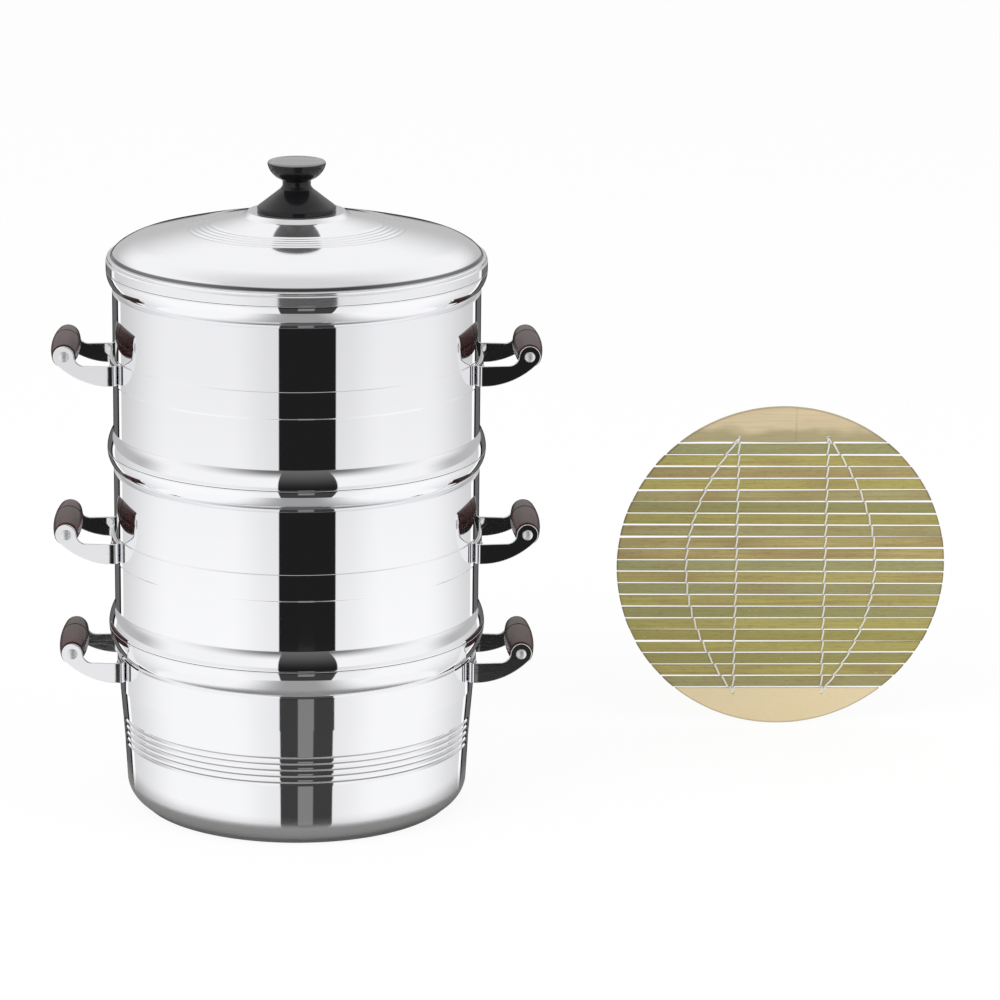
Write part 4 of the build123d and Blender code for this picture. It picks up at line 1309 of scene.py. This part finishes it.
def board_mesh(name, k, side):
    """The segment of the circle beyond the slats, with two string holes."""
    chord = k.pitch * (k.slats - 1) / 2 + k.width / 2 + k.board_gap
    half = math.acos(chord / k.radius)
    loop = []
    for i in range(BOARD_ARC_STEPS + 1):
        turn = math.pi / 2 + half - 2 * half * i / BOARD_ARC_STEPS
        loop.append((k.radius * math.cos(turn), side * k.radius * math.sin(turn)))
    width = k.radius * math.sin(half)
    depth, waves = (0.35 * MM, 5.0) if side > 0 else (0.15 * MM, 2.0)
    for i in range(1, BOARD_CHORD_STEPS):
        x = width - 2 * width * i / BOARD_CHORD_STEPS
        loop.append((x, side * (chord + depth * (1 - math.cos(x / width * waves)))))
    work = bmesh.new()

    def ring(points):
        verts = [work.verts.new((x, y, -k.thick / 2)) for x, y in points]
        return [work.edges.new((verts[i - 1], verts[i])) for i in range(len(verts))]

    edges = ring(loop)
    for x in (-k.hole_x, k.hole_x):
        turns = [math.tau * i / HOLE_STEPS for i in range(HOLE_STEPS)]
        edges += ring([(x + k.hole_r * math.cos(t), side * k.hole_y + k.hole_r * math.sin(t)) for t in turns])
    bmesh.ops.triangle_fill(work, edges=edges, use_beauty=True)
    grown_part = bmesh.ops.extrude_face_region(work, geom=work.faces[:])
    upper = [v for v in grown_part["geom"] if isinstance(v, bmesh.types.BMVert)]
    bmesh.ops.translate(work, verts=upper, vec=(0.0, 0.0, k.thick))
    mesh = bpy.data.meshes.new(name)
    work.to_mesh(mesh)
    work.free()
    spots = mesh.attributes.new("rack_place", "FLOAT_VECTOR", "POINT")
    for vertex, spot in zip(mesh.vertices, spots.data):
        spot.vector = vertex.co
    mesh.materials.append(PAINTS["board"])
    return tidy_normals(mesh, 30.0)


class STEAMER_OT_boards(bpy.types.Operator):
    """Cuts the end boards of both racks"""

    bl_idname = "steamer.boards"
    bl_label = "End boards"

    def execute(self, context):
        k = context.scene.steamer.racks
        for rack, place in rack_places(context.scene.steamer.vessels, k).items():
            for side, end in ((1, "top"), (-1, "bottom")):
                name = f"{rack}_{end}_board_planed"
                placed(name, board_mesh(name, k, side), rack, [f"{rack}_{end}_board"], place)
        return {"FINISHED"}


class STEAMER_OT_strings(bpy.types.Operator):
    """Twines the strings through both racks"""

    bl_idname = "steamer.strings"
    bl_label = "Strings"

    def execute(self, context):
        k = context.scene.steamer.racks
        seed = point_mesh("seed", [(0.0, 0.0)])
        for rack, place in rack_places(context.scene.steamer.vessels, k).items():
            work = bmesh.new()
            for side in (-1, 1):
                for bow in (0.0, k.bow * side):
                    for phase in (0.0, math.pi):
                        ply = grown(
                            "ply", seed, TREES["thread"], Steps=THREAD_POINTS, Reach=k.hole_y,
                            Side=side * k.hole_x, Bow=bow, Pitch=k.pitch, Radius=k.thread_r, Phase=phase,
                            Depth=k.thick / 2 + k.thread_r * 0.75, Spread=k.thread_r * 0.85,
                            Paint=PAINTS["string"])
                        work.from_mesh(ply)
            mesh = bpy.data.meshes.new(f"{rack}_strings_twined")
            work.to_mesh(mesh)
            work.free()
            mesh.materials.append(PAINTS["string"])
            tidy_normals(mesh, 60.0)
            placed(f"{rack}_strings_twined", mesh, rack, [f"{rack}_strings"], place)
        return {"FINISHED"}


def studio_world(context):
    """White for the camera, plain light on the object, and the studio's greys and dark gaps in reflections."""
    world = bpy.data.worlds.new("Studio")
    context.scene.world = world
    world.use_nodes = True
    world.node_tree.nodes.clear()
    nodes = Nodes(world.node_tree)
    rays = nodes.node("ShaderNodeLightPath").outputs
    x, y, z = nodes.split(nodes.node("ShaderNodeTexCoord").outputs["Generated"])
    facing = nodes.math("ARCTAN2", x, y * -1.0) * (180.0 / math.pi)
    height = nodes.math("ARCSINE", z) * (180.0 / math.pi)
    away, fall = nodes.math("ABSOLUTE", facing), height * -1.0
    from_gap = nodes.math("ABSOLUTE", facing - GAP_MIDDLE)
    up, steep = nodes.smooth(height, -3.5, -0.5), nodes.smooth(fall, STEEP_FROM, STEEP_FULL)
    rear = nodes.smooth(away, 80.0, 110.0)

    # Walls below eye level, a little darker at the horizon, behind and beside the gap.
    low = 0.98 - (1.0 - nodes.smooth(fall, 12.0, 17.0)) * 0.11 - nodes.smooth(away, 85.0, 145.0) * 0.28
    low = low - (1.0 - nodes.smooth(from_gap, 18.0, 50.0)) * 0.13
    # Walls above it, darker high up over the gap, and the ceiling.
    high = 0.93 - rear * (1.0 - nodes.smooth(height, 8.0, 30.0)) * 0.45
    near = 1.0 - nodes.smooth(from_gap, 18.0, 110.0)
    high = high * (1.0 - near * nodes.smooth(height, 22.0, 50.0) * 0.85)
    ceiling = nodes.smooth(height, CEILING_FROM - rear * CEILING_SPREAD, CEILING_FULL + rear * CEILING_SPREAD)
    high = nodes.fade(ceiling, high, CEILING_TONE)
    # The ground at the object's foot.
    under = 0.34 + nodes.smooth(nodes.math("ABSOLUTE", x - 0.03), 0.1, 0.5) * 0.62
    room = nodes.fade(up, nodes.fade(steep, low, under), high)

    # The dark gap in front, with its paler stripe.
    gap = nodes.band(facing, *DARK_GAP, 0.8) * (1.0 - steep) * (1.0 - ceiling)
    stripe = nodes.band(facing, *GAP_STRIPE, 0.8) * nodes.band(fall, *STRIPE_FALL, 0.4)
    rising, falling = nodes.smooth(height, -8.0, 58.0), nodes.band(fall, STRIPE_FALL[0], STEEP_FROM, 0.4)
    gap_tone = 0.013 + rising * 0.12 + falling * 0.035 + stripe * 0.17
    room = nodes.fade(gap, room, gap_tone)
    # The dark panel behind, with a white line before it and black edges.
    line = nodes.band(away, *REAR_LINE, 0.6) * (1.0 - up)
    behind = nodes.smooth(away, REAR_PANEL, REAR_PANEL + 0.6) * (1.0 - up)
    panel = 0.004 + nodes.band(away, *PANEL_PALE, 1.0) * 0.12
    room = nodes.fade(behind, nodes.fade(line, room, 1.0), panel)

    camera, glossy = nodes.value(rays["Is Camera Ray"]), nodes.value(rays["Is Glossy Ray"])
    through = nodes.value(rays["Is Transmission Ray"])
    strength = nodes.fade(glossy, PLAIN_LIGHT, room * ROOM_LIGHT)
    strength = nodes.math("MAXIMUM", strength, nodes.math("MAXIMUM", camera, through))
    shader = nodes.node("ShaderNodeBackground", (), {"Color": (1.0, 1.0, 1.0), "Strength": strength})
    nodes.node("ShaderNodeOutputWorld", (), {"Surface": shader.outputs[0]})


def floor_paint():
    """Pale floor: white to the camera with a soft shadow, painted darker where reflections see it near the pot
    (painted shade), and clear to far ones.
    """
    made = bpy.data.materials.new("Pale floor")
    made.use_nodes = True
    made.node_tree.nodes.clear()
    nodes = Nodes(made.node_tree)
    rays = nodes.node("ShaderNodeLightPath").outputs
    x, y, _ = object_place(nodes)
    r = nodes.math("SQRT", x * x + y * y)
    camera, glossy = nodes.value(rays["Is Camera Ray"]), nodes.value(rays["Is Glossy Ray"])
    # Painted shade: reflections see the floor near the pot as dark grey, standing in for the shade at the pot's
    # foot.
    tone = nodes.mix(glossy, (0.93, 0.93, 0.93), (0.33, 0.33, 0.32))
    plain = nodes.node("ShaderNodeBsdfDiffuse", (), {"Color": tone})
    glow = nodes.node("ShaderNodeEmission", (), {"Color": (1.0, 1.0, 1.0), "Strength": 1.02})
    clear = nodes.node("ShaderNodeBsdfTransparent")
    shown = nodes.node("ShaderNodeMixShader", (), {0: camera * 0.88, 1: plain.outputs[0], 2: glow.outputs[0]})
    far = glossy * nodes.smooth(r, 150.0 * MM, 200.0 * MM)
    mixed = nodes.node("ShaderNodeMixShader", (), {0: far, 1: shown.outputs[0], 2: clear.outputs[0]})
    nodes.node("ShaderNodeOutputMaterial", (), {"Surface": mixed.outputs[0]})
    return made


class STEAMER_OT_stage(bpy.types.Operator):
    """Sets the floor and the studio's light"""

    bl_idname = "steamer.stage"
    bl_label = "Stage"

    def execute(self, context):
        context.scene.view_settings.view_transform = "Standard"
        studio_world(context)
        mesh = bpy.data.meshes.new("floor")
        corners = [(x * FLOOR_HALF, y * FLOOR_HALF, 0) for x, y in ((-1, -1), (1, -1), (1, 1), (-1, 1))]
        mesh.from_pydata(corners, [], [(0, 1, 2, 3)])
        mesh.materials.append(floor_paint())
        floor = bpy.data.objects.new("floor", mesh)
        context.scene.collection.objects.link(floor)
        for name, place, size, energy in LAMPS:
            data = bpy.data.lights.new(name, "AREA")
            data.energy, data.size = energy, size
            lamp = bpy.data.objects.new(name, data)
            lamp.location = place
            lamp.rotation_euler = (Vector(LAMP_AIM) - Vector(place)).to_track_quat("-Z", "Y").to_euler()
            lamp.visible_glossy = False
            context.scene.collection.objects.link(lamp)
        return {"FINISHED"}


class SteamerSettings(bpy.types.PropertyGroup):
    """All settings of the steamer."""

    vessels: bpy.props.PointerProperty(type=SteamerVesselSizes, name="Vessels", description="Vessel sizes")
    lid: bpy.props.PointerProperty(type=SteamerLidSizes, name="Lid", description="Lid and knob sizes")
    handles: bpy.props.PointerProperty(type=SteamerHandleSizes, name="Handles", description="Handle sizes")
    racks: bpy.props.PointerProperty(type=SteamerRackSizes, name="Racks", description="Rack sizes")
    colours: bpy.props.PointerProperty(type=SteamerColours, name="Colours", description="Colours and finishes")


OPERATORS = (
    STEAMER_OT_camera, STEAMER_OT_stage, STEAMER_OT_vessels, STEAMER_OT_lid, STEAMER_OT_straps,
    STEAMER_OT_grips, STEAMER_OT_fasteners, STEAMER_OT_slats, STEAMER_OT_boards, STEAMER_OT_strings)


class STEAMER_PT_panel(bpy.types.Panel):
    """Lists the steamer's operators and settings"""

    bl_idname = "STEAMER_PT_panel"
    bl_label = "Steamer"
    bl_space_type = "VIEW_3D"
    bl_region_type = "UI"
    bl_category = "Steamer"

    def draw(self, context):
        for operator in OPERATORS:
            self.layout.operator(operator.bl_idname)
        settings = context.scene.steamer
        for group in (settings.vessels, settings.lid, settings.handles, settings.racks, settings.colours):
            box = self.layout.box()
            for key in group.bl_rna.properties.keys():
                if key not in ("rna_type", "name"):
                    box.prop(group, key)


CLASSES = (
    SteamerVesselSizes, SteamerLidSizes, SteamerHandleSizes, SteamerRackSizes, SteamerColours, SteamerSettings,
    *OPERATORS, STEAMER_PT_panel)


def register():
    for cls in CLASSES:
        bpy.utils.register_class(cls)
    bpy.types.Scene.steamer = bpy.props.PointerProperty(
        type=SteamerSettings, name="Steamer", description="Settings of the steamer")


def unregister():
    del bpy.types.Scene.steamer
    for cls in reversed(CLASSES):
        bpy.utils.unregister_class(cls)


def main():
    register()
    make_shared(bpy.context.scene.steamer)
    for operator in OPERATORS:
        group, name = operator.bl_idname.split(".")
        getattr(getattr(bpy.ops, group), name)()


if __name__ == "__main__":
    main()
